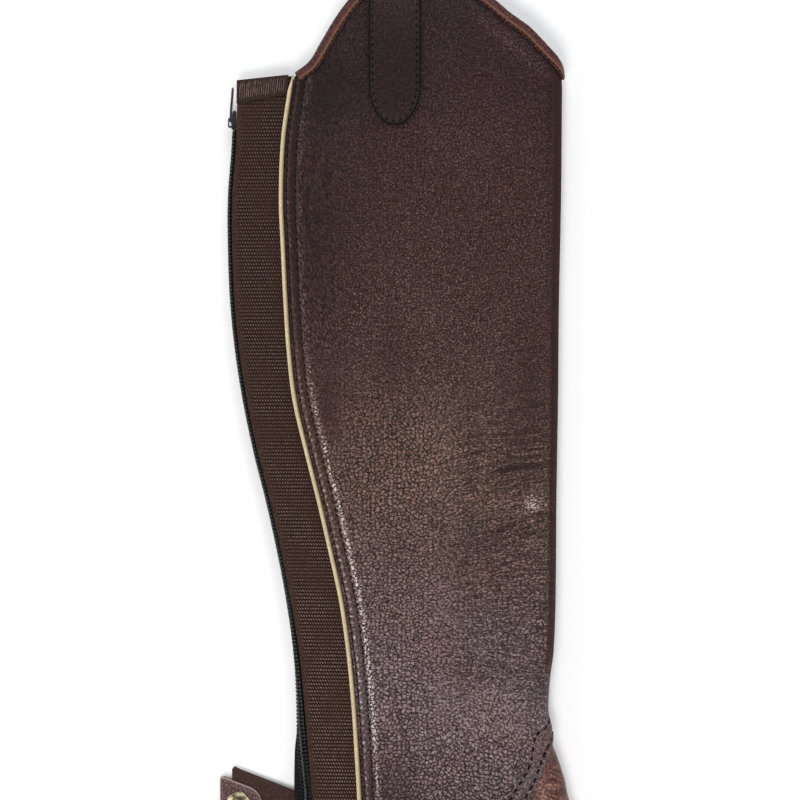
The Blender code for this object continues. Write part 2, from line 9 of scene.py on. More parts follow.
import bpy
import numpy as np
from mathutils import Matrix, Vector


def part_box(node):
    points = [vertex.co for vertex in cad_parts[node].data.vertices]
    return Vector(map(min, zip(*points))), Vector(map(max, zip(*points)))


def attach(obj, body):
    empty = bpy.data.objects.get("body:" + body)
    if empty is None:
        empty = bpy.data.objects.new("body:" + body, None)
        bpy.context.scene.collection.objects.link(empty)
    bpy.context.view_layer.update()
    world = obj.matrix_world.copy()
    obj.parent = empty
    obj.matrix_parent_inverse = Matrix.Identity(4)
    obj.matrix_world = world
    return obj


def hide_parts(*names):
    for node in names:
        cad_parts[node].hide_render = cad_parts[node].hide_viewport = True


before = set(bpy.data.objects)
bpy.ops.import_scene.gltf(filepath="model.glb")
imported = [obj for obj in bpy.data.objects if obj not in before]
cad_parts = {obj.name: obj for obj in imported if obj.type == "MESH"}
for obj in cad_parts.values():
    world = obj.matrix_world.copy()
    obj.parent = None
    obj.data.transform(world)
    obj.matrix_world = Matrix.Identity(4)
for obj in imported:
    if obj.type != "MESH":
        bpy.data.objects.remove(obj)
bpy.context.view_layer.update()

MM = 0.001
PER_MM = (1 / MM,) * 3
LEATHER = 1.8
ELASTIC = 1.2
TAPE = 1.0
STRAP = 1.5
SEAM_GAP = 0.3
FOLD_GAP = 0.45
UNDER_LEATHER = LEATHER + SEAM_GAP
FOLD_REACH = 8.0
FOLD_GIRTH = 26.0
FOLD_MIDDLE = FOLD_GIRTH / 2
FRONT_STRIP = 25.0
PEAK_DROOP = 1.5
DROOP_FROM, DROOP_SPAN = 188.0, 55.0
PIPING_RADIUS = 1.3
PIPING_TOP = 178.2
ELASTIC_UNDER_PANEL = 10.0
CHAIN_WIDTH = 5.3
CHAIN_TOP, CHAIN_BOTTOM = 150.0, -212.0
TAPE_TOP, TAPE_BOTTOM = 172.5, -228.0
INNER_TAPE_TOP = 170.0
TAPE_PARTING = 0.6
TAPE_UNDER_ELASTIC = 10.0
STRAP_LIFT = 1.8
BAND_THICK = 0.8
BAND_Y = 170.0
BOTTOM_BAND_HEIGHT = 10.4
SLIDER_LENGTH, SLIDER_THICK = 10.0, 2.7
PULL_WIDTH, PULL_TIP = 4.5, 172.8
HINGE_Y, HINGE_OUT = 154.8, 3.27
BINDING_WIDTH = 5.7
BINDING_THICK = 0.9
BINDING_LIFT_FROM, BINDING_LIFT_SPAN = 12.0, 14.0
BINDING_START_Y, BINDING_END_Y = 179.5, 176.0
INSTEP_REACH = 56.0
LAP_TONGUE = 12.0
LAP_RAMP = 14.0
LAP_SLANT = 1.5
TAB_WIDTH = 27.6
TAB_FOOT = 151.6
TAB_CENTRE = -5.4
TAB_THICK = 1.6
TAB_ROUND = 22.0
SNAP_RADIUS = 6.35
STRAP_LEAN = math.radians(-21.0)
SNAP_TAB_HALF = 10.0
SNAP_TAB_FOLD = -98.4
SNAP_TAB_ROOT = -55.0
SNAP_CENTRE = (-88.5, -207.2)

LEG = (
    # y, piping_x, elastic_x
    (200, -59.0, -88.6),
    (176, -60.2, -88.8),
    (145, -64.4, -89.4),
    (113, -65.6, -91.6),
    (86, -64.5, -91.5),
    (59, -63.2, -90.4),
    (32, -61.4, -87.7),
    (7, -58.4, -83.8),
    (-20, -52.2, -78.2),
    (-47, -45.4, -71.4),
    (-74, -39.2, -65.4),
    (-99, -33.8, -60.6),
    (-126, -29.9, -56.2),
    (-153, -27.3, -53.5),
    (-180, -25.5, -51.3),
    (-205, -24.1, -49.2),
    (-243, -22.5, -47.0),
)
FRONT = (
    # y, front_x, height
    (243, 83.3, 15.0),
    (176, 83.2, 16.0),
    (113, 82.7, 16.0),
    (59, 81.6, 16.0),
    (7, 81.1, 16.5),
    (-47, 80.2, 17.5),
    (-99, 79.7, 19.0),
    (-126, 78.6, 20.0),
    (-140, 76.8, 20.0),
    (-156, 75.9, 19.5),
    (-165, 77.4, 19.5),
    (-173, 79.4, 19.0),
    (-181, 82.0, 19.0),
    (-193, 84.4, 18.5),
    (-205, 87.0, 18.0),
    (-243, 99.1, 17.0),
)
REAR = (
    # y, tilt_deg, run, bulge, height
    (176, 90, 2.4, 1.1, 12.0),
    (163, 90, 2.4, 1.1, 11.8),
    (148, 90, 2.4, 1.1, 11.0),
    (130, 90, 2.4, 1.1, 10.8),
    (-90, 90, 2.4, 1.1, 10.8),
    (-113, 82, 2.2, 1.1, 10.9),
    (-126, 75, 1.8, 1.3, 11.0),
    (-140, 68, 1.2, 1.7, 11.2),
    (-153, 58, 0.3, 2.4, 11.5),
    (-167, 40, -1.5, 4.0, 11.8),
    (-180, 24, -3.0, 4.4, 12.0),
    (-205, 8, -4.0, 6.2, 12.2),
    (-243, 0, -4.0, 6.2, 12.2),
)
STRAP_UNDER = (
    # x, y
    (-90.6, -188.0),
    (-87.5, -189.6),
    (-59.4, -200.6),
    (-46.0, -205.8),
    (-46.0, -226.5),
    (-59.4, -224.0),
    (-92.4, -212.0),
    (-92.0, -189.4),
)
TOP_EDGE = (
    # along, y
    (-134.0, 179.4),
    (-125.6, 186.0),
    (-120.2, 195.0),
    (-115.0, 204.0),
    (-109.7, 212.2),
    (-104.4, 219.0),
    (-94.2, 230.0),
    (-84.2, 238.6),
    (-74.5, 242.6),
    (-64.5, 240.8),
    (-50.2, 233.0),
    (-29.1, 218.9),
    (-19.5, 210.9),
    (-8.9, 203.0),
    (1.3, 192.4),
    (9.4, 184.4),
    (13.0, 182.0),
    (16.8, 185.6),
    (20.5, 190.3),
    (24.8, 195.0),
    (32.0, 199.6),
    (50.0, 201.5),
    (80.0, 200.0),
    (120.0, 191.5),
    (146.0, 181.0),
    (160.0, 177.6),
    (186.0, 176.5),
)
HEM = (
    # away, y
    (0, -242.7),
    (13, -242.0),
    (49, -238.0),
    (160, -229.5),
    (200, -228.5),
)
LAP = (
    # away, y
    (0.0, -170.5),
    (3.1, -172.3),
    (12.0, -181.3),
    (17.0, -190.3),
    (22.3, -198.8),
    (49.2, -231.6),
    (62.0, -247.0),
)

# How much coarser the hidden inner faces are than the outer ones.
INNER_STEP = 4

# A distance at which the hide shows nothing of its seam.
FAR_FROM_SEAM = 50.0

# Edges that turn by more than this stay sharp.
SHARP = math.radians(40)

# Where the sewing runs, measured from the edge that it holds down.
SEAM_ROWS = (1.4, 6.0)
SEAM_PITCH = 3.7
LAP_ROWS = (2.4, 8.1)
LAP_PITCH = 4.8
LAP_BLUR = 14
BINDING_ROW = 5.0
BINDING_PITCH = 2.9
TAB_ROW = 2.1
TAB_PITCH = 3.75
RIB_PITCH = 1.9
COIL_PITCH = 2.0

CREASES = (
    # depth, half_width, (x, y) points
    (0.35, 0.9,
     ((6.9, -32.3), (19.6, -26.0), (30.2, -22.3), (45.1, -19.6), (56.7, -16.6), (74.7, -13.8))),
    (0.28, 0.9, ((30.2, -24.9), (45.1, -22.3), (61.0, -19.6), (75.3, -18.6))),
    (0.30, 0.9, ((29.2, -33.4), (38.7, -29.2), (50.4, -25.4), (62.0, -23.3), (75.3, -22.8))),
    (0.25, 0.9, ((24.9, -13.2), (50.4, -11.1), (75.3, -9.5))),
    (0.20, 0.8, ((34.5, -16.4), (53.0, -14.3), (75.3, -11.9))),
    (0.35, 1.4, ((41.9, -32.3), (50.4, -30.2), (64.1, -28.1), (75.3, -27.0))),
    (0.40, 1.0, ((42.9, -65.2), (51.4, -61.0), (61.0, -56.7), (75.3, -51.4))),
    (0.32, 0.9, ((34.5, -74.7), (45.1, -69.4), (55.7, -64.1), (66.2, -58.8), (75.8, -54.6))),
    (0.30, 0.9, ((19.6, -83.2), (34.5, -77.9), (45.1, -73.7), (58.8, -66.2), (75.8, -59.9))),
    (0.28, 0.9, ((21.7, -86.9), (34.5, -83.2), (48.2, -81.1), (61.0, -75.8), (75.8, -70.5))),
    (0.30, 0.9, ((6.9, -97.0), (23.9, -92.8), (34.5, -89.6), (50.4, -86.4), (75.8, -83.2))),
    (0.22, 0.9, ((13.2, -102.3), (29.2, -98.1), (45.1, -94.9), (61.0, -92.8), (75.8, -91.7))),
    (0.25, 0.9, ((18.6, -106.0), (34.5, -102.8), (50.4, -100.7), (75.8, -99.1))),
    (0.28, 0.9, ((24.9, -111.8), (39.8, -114.0), (55.7, -116.1), (75.3, -115.5))),
    (0.28, 0.9, ((27.0, -116.6), (39.8, -119.2), (50.4, -121.9), (61.0, -125.6), (72.6, -128.3))),
    (0.25, 0.9, ((29.2, -121.4), (45.1, -125.1), (56.7, -129.8), (67.3, -135.2))),
    (0.22, 0.9, ((34.5, -127.7), (48.2, -133.0), (58.8, -136.7), (69.4, -141.5))),
    (0.16, 0.9, ((50.4, 9.0), (61.0, 11.1), (75.3, 12.7))),
    (0.16, 0.9, ((44.0, 0.5), (61.0, 2.7), (75.3, 4.8))),
    (0.18, 0.9, ((50.4, 32.3), (62.0, 33.4), (75.3, 36.6))),
    (0.30, 1.0,
     ((-45.1, 135.2), (-49.0, 123.5), (-51.7, 104.9), (-47.7, 86.4), (-41.1, 74.7), (-30.5, 64.1))),
    (0.22, 0.9, ((-38.7, 139.4), (-41.9, 126.1), (-39.8, 112.9), (-35.5, 99.6))),
    (0.25, 1.0, ((-54.6, 69.4), (-42.4, 59.9), (-31.8, 46.6), (-21.2, 38.7))),
    (0.20, 0.9, ((-49.3, 58.8), (-39.8, 46.6), (-31.8, 32.3))),
    (0.32, 1.0, ((-37.1, 179.1), (-28.1, 174.4), (-18.6, 167.0))),
    (0.22, 0.9, ((-46.1, 168.0), (-39.8, 160.6), (-30.7, 154.2))),
    (0.22, 0.9, ((-53.5, 99.6), (-51.4, 86.4), (-46.1, 73.1), (-38.2, 59.9))),
    (0.16, 0.9, ((-34.5, 91.7), (-28.1, 80.0), (-22.8, 65.2), (-19.6, 49.3))),
    (0.22, 1.2, ((-11.1, -104.4), (-8.0, -130.9), (-3.7, -154.8), (1.6, -176.0), (8.0, -199.8))),
    (0.18, 1.0, ((-2.7, -120.3), (1.6, -141.5), (8.0, -162.7))),
)

HIDDEN_CREASES = (
    # y at the fold, lean, length, depth
    (-14, 0.16, 46, 0.2),
    (-24, 0.2, 60, 0.26),
    (-58, -0.22, 52, 0.28),
    (-72, -0.18, 64, 0.2),
    (-96, -0.06, 50, 0.24),
    (-118, 0.1, 56, 0.22),
    (34, -0.05, 30, 0.14),
    (78, 0.3, 34, 0.16),
)

GRAIN_ROWS = (
    # y, how far the rows of grain climb to the front
    (80, 0.0),
    (40, 0.2),
    (0, 0.7),
    (-40, 1.0),
    (-75, 0.75),
    (-105, 0.1),
    (-135, -0.55),
    (-170, -0.8),
    (-243, -0.8),
)

PAINTED_LIGHT_ALONG_LEG = (
    # y, how light the hide is painted: painted light and sheen, darker towards the top and lighter towards
    # the ankle
    (243, 0.19),
    (180, 0.2),
    (139, 0.31),
    (60, 0.43),
    (-20, 0.65),
    (-99, 0.68),
    (-152, 0.84),
    (-194, 0.68),
    (-243, 0.5),
)

TONE_AND_PAINTED_LIGHT_PATCHES = (
    # x, y, half_width, half_height, lean_deg, change of lightness: patches of uneven hide tone and of
    # painted light and shade, with a painted sheen under the binding and a painted glint on the swell at
    # the front
    (-50.0, 80.0, 25.0, 80.0, 0, -0.22),
    (-40.0, 170.0, 22.0, 22.0, 0, -0.1),
    (36.0, 150.0, 30.0, 40.0, 0, 0.07),
    (57.0, 194.0, 26.0, 3.5, -41, 0.22),
    (0.0, 60.0, 30.0, 30.0, 0, 0.08),
    (66.0, 5.0, 14.0, 48.0, 0, -0.28),
    (68.0, -60.0, 22.0, 130.0, 0, 0.1),
    (52.0, -31.0, 18.0, 5.0, 12, -0.22),
    (62.0, -47.0, 15.0, 7.0, 8, 0.28),
    (67.3, -47.5, 4.5, 5.0, 0, 0.75),
    (25.0, -30.0, 26.0, 28.0, 0, 0.24),
    (40.0, -66.0, 24.0, 4.0, 20, -0.14),
    (36.0, -112.0, 38.0, 40.0, 0, 0.24),
    (46.0, -158.0, 30.0, 24.0, 0, 0.28),
    (-12.0, -208.0, 19.0, 30.0, 0, -0.42),
    (-40.0, 2.0, 7.0, 18.0, 0, -0.25),
    (-7.0, 30.0, 8.0, 30.0, 0, -0.16),
    (-18.0, -110.0, 12.0, 55.0, 10, 0.12),
    (72.0, -150.0, 6.0, 20.0, 0, -0.2),
)

SWELLS = (
    # x, y, half_width, half_height, lean_deg, rise
    (67.0, -47.0, 13.0, 7.0, 8, 0.7),
    (34.0, -46.0, 20.0, 9.0, 12, 0.35),
    (53.0, -30.0, 18.0, 5.0, 12, -0.5),
    (56.0, -64.0, 20.0, 4.5, 22, -0.45),
    (44.0, -92.0, 26.0, 9.0, 8, 0.4),
    (8.0, -138.0, 26.0, 20.0, -20, 0.45),
    (-38.5, 4.0, 6.5, 18.0, 0, -0.5),
    (-7.0, 33.0, 7.0, 30.0, 0, -0.4),
    (64.0, -141.0, 6.0, 16.0, -18, -0.5),
    (-52.0, 60.0, 6.0, 14.0, 0, 0.4),
    (-30.0, 150.0, 16.0, 9.0, -30, 0.35),
    (-28.0, 120.0, 9.0, 22.0, 12, -0.3),
)


def smooth(rows, column, at):
    """The values of a table's column at some places, on a smooth curve through the rows."""
    table = np.array(sorted((row[0], row[column]) for row in rows), float)
    places, values = table.T
    at = np.clip(np.asarray(at, float), places[0], places[-1])
    last = len(places) - 1
    after = np.minimum(np.arange(last + 1) + 1, last)
    before = np.maximum(np.arange(last + 1) - 1, 0)
    slopes = (values[after] - values[before]) / (places[after] - places[before])
    i = np.clip(np.searchsorted(places, at) - 1, 0, last - 1)
    span = places[i + 1] - places[i]
    t = (at - places[i]) / span
    keep = (1 + 2 * t) * (1 - t) ** 2 * values[i] + t * t * (3 - 2 * t) * values[i + 1]
    return keep + span * (t * (1 - t) ** 2 * slopes[i] - t * t * (1 - t) * slopes[i + 1])


def ease(t):
    t = np.clip(t, 0.0, 1.0)
    return t * t * (3 - 2 * t)


def bell(t):
    return np.exp(-np.square(t))


def slope_of(curve, at):
    return curve(at + 0.5) - curve(at - 0.5)


def stretch(curve, at):
    """How far a curve runs for each millimetre of its axis."""
    return np.hypot(1, slope_of(curve, at))


def top_edge(along):
    return smooth(TOP_EDGE, 1, along)


def hem(along):
    return smooth(HEM, 1, np.abs(along - FOLD_MIDDLE))


def lap(along):
    return smooth(LAP, 1, np.abs(along - FOLD_MIDDLE))


def below(curve, along, distance):
    """A curve moved down across its own direction, as a seam allowance is."""
    return curve(along) - distance * stretch(curve, along)


def piping_x(y):
    return smooth(LEG, 1, y)


def elastic_x(y):
    return smooth(LEG, 2, y)


def fold_x(y):
    """Where the upper layer starts to turn down at the front."""
    return smooth(FRONT, 1, y) - FOLD_REACH


def vectors(x, y, z):
    return np.stack(np.broadcast_arrays(x, y, z), -1).astype(float)


def skin(along, y, depth=0.0):
    """Points `depth` inside the tube's outer skin, `along` it from the start of the front fold."""
    along, y, depth = (np.asarray(v, float) for v in np.broadcast_arrays(along, y, depth))
    height, front = smooth(FRONT, 2, y), fold_x(y)
    x, rear, low = front + along, elastic_x(y), smooth(REAR, 4, y)
    across = np.clip((x - rear) / (front - rear), 0.0, 1.0)
    droop = PEAK_DROOP * np.maximum(0.0, (y - DROOP_FROM) / DROOP_SPAN) ** 2 * ease(-along / 40)
    upper = vectors(x, y, low + (height - low) * np.sin(np.pi / 2 * across) - droop - depth)
    from_edge = top_edge(along) - y - BINDING_LIFT_FROM
    lift = (BINDING_THICK + FOLD_GAP) * ease(1 - from_edge / BINDING_LIFT_SPAN)
    turn = np.pi * np.clip(along / FOLD_GIRTH, 0.0, 1.0)
    fold_z = height / 2 + (height / 2 - depth) * np.cos(turn) + lift * (1 - np.cos(turn)) / 2
    fold = vectors(front + (FOLD_REACH - depth) * np.sin(turn), y, fold_z)
    lower = vectors(front - (along - FOLD_GIRTH), y, depth + lift)
    side = np.where(along < FOLD_GIRTH, 1, 2)
    side = np.where(along <= 0, 0, side)[..., None]
    return np.where(side == 0, upper, np.where(side == 1, fold, lower))


def on_upper(x, y, depth=0.0):
    return skin(np.minimum(x - fold_x(y), 0.0), y, depth)


def on_lower(x, y, depth=0.0):
    return skin(FOLD_GIRTH + fold_x(y) - x, y, depth)


def column_ends(along_at, low, high, count):
    """The lowest and highest y of columns whose places along the skin shift with height."""
    first_bottom, first_top, rounds = -235.0, 200.0, 12
    bottom, top = np.full(count, first_bottom), np.full(count, first_top)
    for _ in range(rounds):
        bottom, top = low(along_at(bottom)), high(along_at(top))
    return bottom, top


def bound_top(along):
    return below(top_edge, along, BINDING_THICK + 2 * FOLD_GAP)


def panel_foot(along):
    return np.maximum(hem(along), lap(along))


def panel_start(y):
    """The outer panel's sewn edge, beside the piping, as a place along the skin."""
    return piping_x(y) + PIPING_RADIUS + SEAM_GAP - fold_x(y)


def above_lap(along, y):
    """Distance up from the panel's lap, square to it."""
    return (y - lap(along)) / stretch(lap, along)


def elastic_foot(share):
    return hem(-145 + 30 * share)


def inner_end(y):
    """The inner panel's rear edge, as a place along the skin."""
    return FOLD_GIRTH + fold_x(y) - (elastic_x(y) - SEAM_GAP + smooth(REAR, 2, y) - 1.0)


def seam_lean(y):
    return stretch(piping_x, y)


def instep_depth(along, y):
    past = (lap(along) - y) / LAP_SLANT - 3.0
    return UNDER_LEATHER * (1 - ease(past / LAP_RAMP))


def through(points, count):
    """A smooth line through given points, at evenly spaced values of the curve's own run."""
    p = np.array(points, float)
    p = np.vstack([2 * p[0] - p[1], p, 2 * p[-1] - p[-2]])
    lines = []
    for k in range(1, len(p) - 2):
        t = np.linspace(0, 1, count, endpoint=False)[:, None]
        a, b, c, d = p[k - 1], p[k], p[k + 1], p[k + 2]
        line = 2 * b + (c - a) * t + (2 * a - 5 * b + 4 * c - d) * t**2
        lines.append((line + (3 * b - a - 3 * c + d) * t**3) / 2)
    return np.vstack([*lines, p[-2:-1]])


def near_line(x, y, line):
    """Distance from each place to a line, and how far along the line that is, from 0 to 1."""
    best, share = np.full(x.shape, 1e9), np.zeros(x.shape)
    parts = np.diff(line, axis=0)
    reach = np.concatenate([[0], np.cumsum(np.hypot(*parts.T))])
    for k, (dx, dy) in enumerate(parts):
        t = ((x - line[k, 0]) * dx + (y - line[k, 1]) * dy) / (dx * dx + dy * dy)
        t = np.clip(t, 0, 1)
        away = np.hypot(x - line[k, 0] - t * dx, y - line[k, 1] - t * dy)
        nearer = away < best
        best = np.where(nearer, away, best)
        share = np.where(nearer, (reach[k] + t * (reach[k + 1] - reach[k])) / reach[-1], share)
    return best, share


def creased(x, y, creases):
    """Soft troughs with a low ridge on each side, fading out at their ends."""
    rise = np.zeros(x.shape)
    for depth, width, points in creases:
        line = through(points, 5)
        close = (x > line[:, 0].min() - 5) & (x < line[:, 0].max() + 5)
        close &= (y > line[:, 1].min() - 5) & (y < line[:, 1].max() + 5)
        away, share = near_line(x[close], y[close], line)
        fade = ease(share / 0.3) * ease((1 - share) / 0.12)
        rise[close] += depth * fade * (0.4 * bell((away - 2.1 * width) / width) - bell(away / width))
    return rise


def swollen(x, y, swells):
    rise = np.zeros(x.shape)
    for cx, cy, wide, high, lean, height in swells:
        turn = math.radians(lean)
        across = (x - cx) * math.cos(turn) + (y - cy) * math.sin(turn)
        up = (y - cy) * math.cos(turn) - (x - cx) * math.sin(turn)
        rise += height * np.exp(-((across / wide) ** 2) - (up / high) ** 2)
    return rise


def rounded(distance, drop=0.5, width=0.9):
    """How far a cut edge is worn down, by distance in from it."""
    t = 1 - np.clip(distance / width, 0, 1)
    return -drop * (1 - np.sqrt(1 - t * t))


def stitch_beads(y):
    """The leather's swelling between the stitches of the seam, from 0 to 1."""
    return 0.5 + 0.5 * np.cos(2 * np.pi * y / SEAM_PITCH)


def panel_relief(along, y):
    """How far the outer panel stands out from its skin."""
    x = fold_x(y) + along
    start = panel_start(y)
    d = (along - start) / seam_lean(y)
    first, second = SEAM_ROWS
    rise = rounded(d) - 0.4 * bell((d - first) / 0.45) - 0.45 * bell((d - second) / 0.5)
    rise += 0.28 * bell((d - (first + second) / 2) / 1.5)
    beads = stitch_beads(y)
    beside = 0.14 * beads * bell((d - first - 0.9) / 0.5)
    rise += (0.26 + 0.16 * beads) * bell((d - second - 2.0) / 1.2) + beside
    rise += 0.5 * bell((d - 19) / 5) * ease((-85 - y) / 30)
    rise += creased(x, y, CREASES) + swollen(x, y, SWELLS) * ease((FOLD_MIDDLE - along) / 12)
    upper = ease((6 - along) / 6)
    rise += upper * 0.22 * bell((along + 2.0) / 1.4) * (0.75 + 0.25 * np.cos(2 * np.pi * y / 2.6))
    foot = above_lap(along, y)
    on_lap = lap(along) > hem(along)
    groove = sum(0.4 * bell((foot - row) / 0.55) for row in LAP_ROWS) * on_lap
    rise -= groove
    rise += 0.22 * bell((foot - sum(LAP_ROWS) / 2) / 1.6) * on_lap + rounded(foot)
    edge = (bound_top(along) - y) / stretch(top_edge, along)
    rise += np.where(edge < BINDING_WIDTH + 1, -0.12, 0.0)
    lower = ease((along - 12) / 8)
    hidden = hidden_creases(along, y) - groove + np.minimum(rounded(foot), 0)
    return rise * (1 - lower) + lower * hidden


def hidden_creases(along, y):
    """Creases of the layer that lies on the table: only troughs, so it still rests flat."""
    u = along - FOLD_GIRTH
    rise = np.zeros(np.shape(u))
    for at, lean, length, depth in HIDDEN_CREASES:
        middle = at + lean * u + 2.2 * np.sin(u / 19.0 + at)
        rise -= depth * bell((y - middle) / 1.1) * ease((length - u) / 22) * ease((u + 16) / 10)
    return rise


# Meshes.


def quads(ids):
    return np.stack([ids[:-1, :-1], ids[:-1, 1:], ids[1:, 1:], ids[1:, :-1]], -1).reshape(-1, 4).tolist()


def shell(outer, inner, row_step=1, column_step=None):
    """Points and faces of a closed sheet: a fine outer grid, a coarser inner one, joined at the rims."""
    column_step = column_step or row_step
    rows, columns = outer.shape[:2]
    ids = np.arange(rows * columns).reshape(rows, columns)
    back = np.arange(inner.shape[0] * inner.shape[1]).reshape(inner.shape[:2]) + rows * columns
    faces = quads(ids) + [face[::-1] for face in quads(back)]
    for i in range(inner.shape[1] - 1):
        part = slice(i * column_step, (i + 1) * column_step + 1)
        faces.append([back[0, i], back[0, i + 1], *ids[0, part][::-1]])
        faces.append([back[-1, i + 1], back[-1, i], *ids[-1, part]])
    for j in range(inner.shape[0] - 1):
        part = slice(j * row_step, (j + 1) * row_step + 1)
        faces.append([back[j + 1, 0], back[j, 0], *ids[part, 0]])
        faces.append([back[j, -1], back[j + 1, -1], *ids[part, -1][::-1]])
    return np.vstack([outer.reshape(-1, 3), inner.reshape(-1, 3)]), faces


def tube(rings):
    """Points and faces of a closed solid through rings of points."""
    rings = np.asarray(rings)
    count, sides = rings.shape[:2]
    ids = np.arange(count * sides).reshape(count, sides)
    wrapped = np.hstack([ids, ids[:, :1]])
    faces = quads(wrapped)
    faces += [ids[0][::-1].tolist(), ids[-1].tolist()]
    return rings.reshape(-1, 3), faces


def merge(parts):
    """Several (points, faces) as one."""
    points, faces, start = [], [], 0
    for some, its_faces in parts:
        points.append(some)
        faces += [[start + k for k in face] for face in its_faces]
        start += len(some)
    return np.vstack(points), faces


def piece(name, shape, material, node=None, body="half_chap", values=None):
    """A named object of the part, standing for its solid if it has one."""
    points, faces = shape
    mesh = bpy.data.meshes.new(name)
    mesh.from_pydata((points * MM).tolist(), [], faces)
    mesh.shade_smooth()
    mesh.set_sharp_from_angle(angle=SHARP)
    for key, value in (values or {}).items():
        layer = mesh.attributes.new(key, "FLOAT_VECTOR", "POINT")
        layer.data.foreach_set("vector", np.asarray(value, np.float32).reshape(-1))
    mesh.materials.append(material)
    obj = bpy.data.objects.new(name, mesh)
    bpy.context.scene.collection.objects.link(obj)
    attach(obj, body)
    if node:
        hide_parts(node)
    return obj


def thinned(grid, row_step=INNER_STEP, column_step=None):
    return grid[::row_step, ::column_step or row_step]


def both(grid, row_step=1, column_step=None):
    """Vertex values for a shell: those of the outer grid, then those of the inner one."""
    return np.vstack([grid.reshape(-1, 3), thinned(grid, row_step, column_step).reshape(-1, 3)])


def grain_of(x, y):
    """Where a place is in the hide's grain, in millimetres, with rows that follow the creases."""
    rise = 15.0 * ease((x - 2.0) / 80.0) * smooth(GRAIN_ROWS, 1, y)
    squeeze = 12.0 * ease((x - 6.0) / 84.0) * ease((70.0 - y) / 80.0)
    squeeze = squeeze * (1 - 0.6 * ease((-125.0 - y) / 30.0))
    crowding = 14.0 * np.tanh((y + 96.0) / 44.0)
    return vectors(x - squeeze, y + crowding - rise, 0.0)


def slant_of(x, y):
    """The same for the drawn-out grain near the seam, leaning to the front, and how fine the grain is."""
    return vectors(0.9 * x + 0.42 * y, (0.42 * x - 0.9 * y) / 2.8, ease((y + 50.0) / 120.0))


def zone_of(x, y, d):
    """How drawn out the grain is, how deep it is, and how light the hide is painted: uneven tone with
    painted light and shade in it.
    """
    long = ease((40.0 - d) / 26.0) * ease((y - 10.0) / 40.0)
    long = np.maximum(long, 0.8 * ease((-18.0 - x) / 22.0) * ease((y - 120) / 30))
    deep = 0.8 + 0.3 * ease((60.0 - y) / 120.0) - 0.2 * ease((y - 90) / 60) * ease((x - 10) / 30)
    deep = deep + 0.6 * ease((52.0 - d) / 34.0) * ease((y - 20.0) / 40.0)
    smooth_patches = 0.6 * np.exp(-(((x + 40) / 7) ** 2) - ((y - 3) / 20) ** 2)
    smooth_patches += 0.5 * np.exp(-(((x - 66) / 7) ** 2) - ((y + 150) / 18) ** 2)
    deep = np.clip(deep - smooth_patches, 0.05, 1.3)
    first, second = SEAM_ROWS
    band = np.clip(1 - np.abs(d - (first + second) / 2) / 2.4, 0, 1)
    deep = deep * (1 - 0.75 * ease(band * 2))
    # Painted light along the leg and in patches, with uneven tone, and painted shade where the hide starts
    # to turn down at the front fold.
    tone_and_painted_light = smooth(PAINTED_LIGHT_ALONG_LEG, 1, y) + swollen(x, y, TONE_AND_PAINTED_LIGHT_PATCHES) - 0.12 * ease((x - 73.5) / 4.0)
    # Painted shade in the creases' troughs and painted light on their low ridges, weaker up the leg.
    tone_and_painted_light = tone_and_painted_light + (1.0 - 0.7 * ease((y - 20.0) / 30.0)) * creased(x, y, CREASES)
    beads = stitch_beads(y)
    # Painted highlights on the beads beside the first row of stitches and on the ridge beside the second,
    # stronger towards the ankle.
    painted_highlight_strength = 0.22 + 0.78 * ease((45.0 - y) / 50.0)
    tone_and_painted_light = tone_and_painted_light * (1 - 0.25 * ease(band * 2))
    # Painted shade in the two stitch grooves.
    tone_and_painted_light = tone_and_painted_light * (1 - 0.6 * bell((d - first) / 0.6)) * (1 - 0.6 * bell((d - second) / 0.7))
    tone_and_painted_light = tone_and_painted_light + painted_highlight_strength * (1.6 * beads * bell((d - first - 1.2) / 0.6) + 1.1 * bell((d - second - 2.3) / 1.4))
    return vectors(long, deep, np.clip(tone_and_painted_light, 0.03, 1.8))


def wash_of(x, y):
    """How much painted mauve sheen the hide has, how finely wrinkled it is, and how much of the edge colour
    shows, which here is painted shade where the hide turns down at the front fold.
    """
    painted_sheen = ease((-40.0 - y) / 110.0) + 0.8 * ease((y - 120.0) / 60.0)
    wrinkled = ease((x - 2.0) / 34.0) * ease((45.0 - y) / 50.0) * (1 - ease((-135.0 - y) / 50.0))
    edge_colour_and_painted_light = ease((x - fold_x(y) - 1.8) / 3.4) * (0.85 - 0.6 * ease((-120.0 - y) / 30.0))
    return vectors(np.clip(painted_sheen, 0, 1), wrinkled, edge_colour_and_painted_light)


def hide(x, y, d):
    """The hide's values at places a distance d from the seam."""
    return {
        "grain": grain_of(x, y),
        "slant": slant_of(x, y),
        "zone": zone_of(x, y, d),
        "wash": wash_of(x, y),
    }


def hide_of(grids, step=1):
    return {key: both(grid, step) for key, grid in grids.items()}


# Materials.


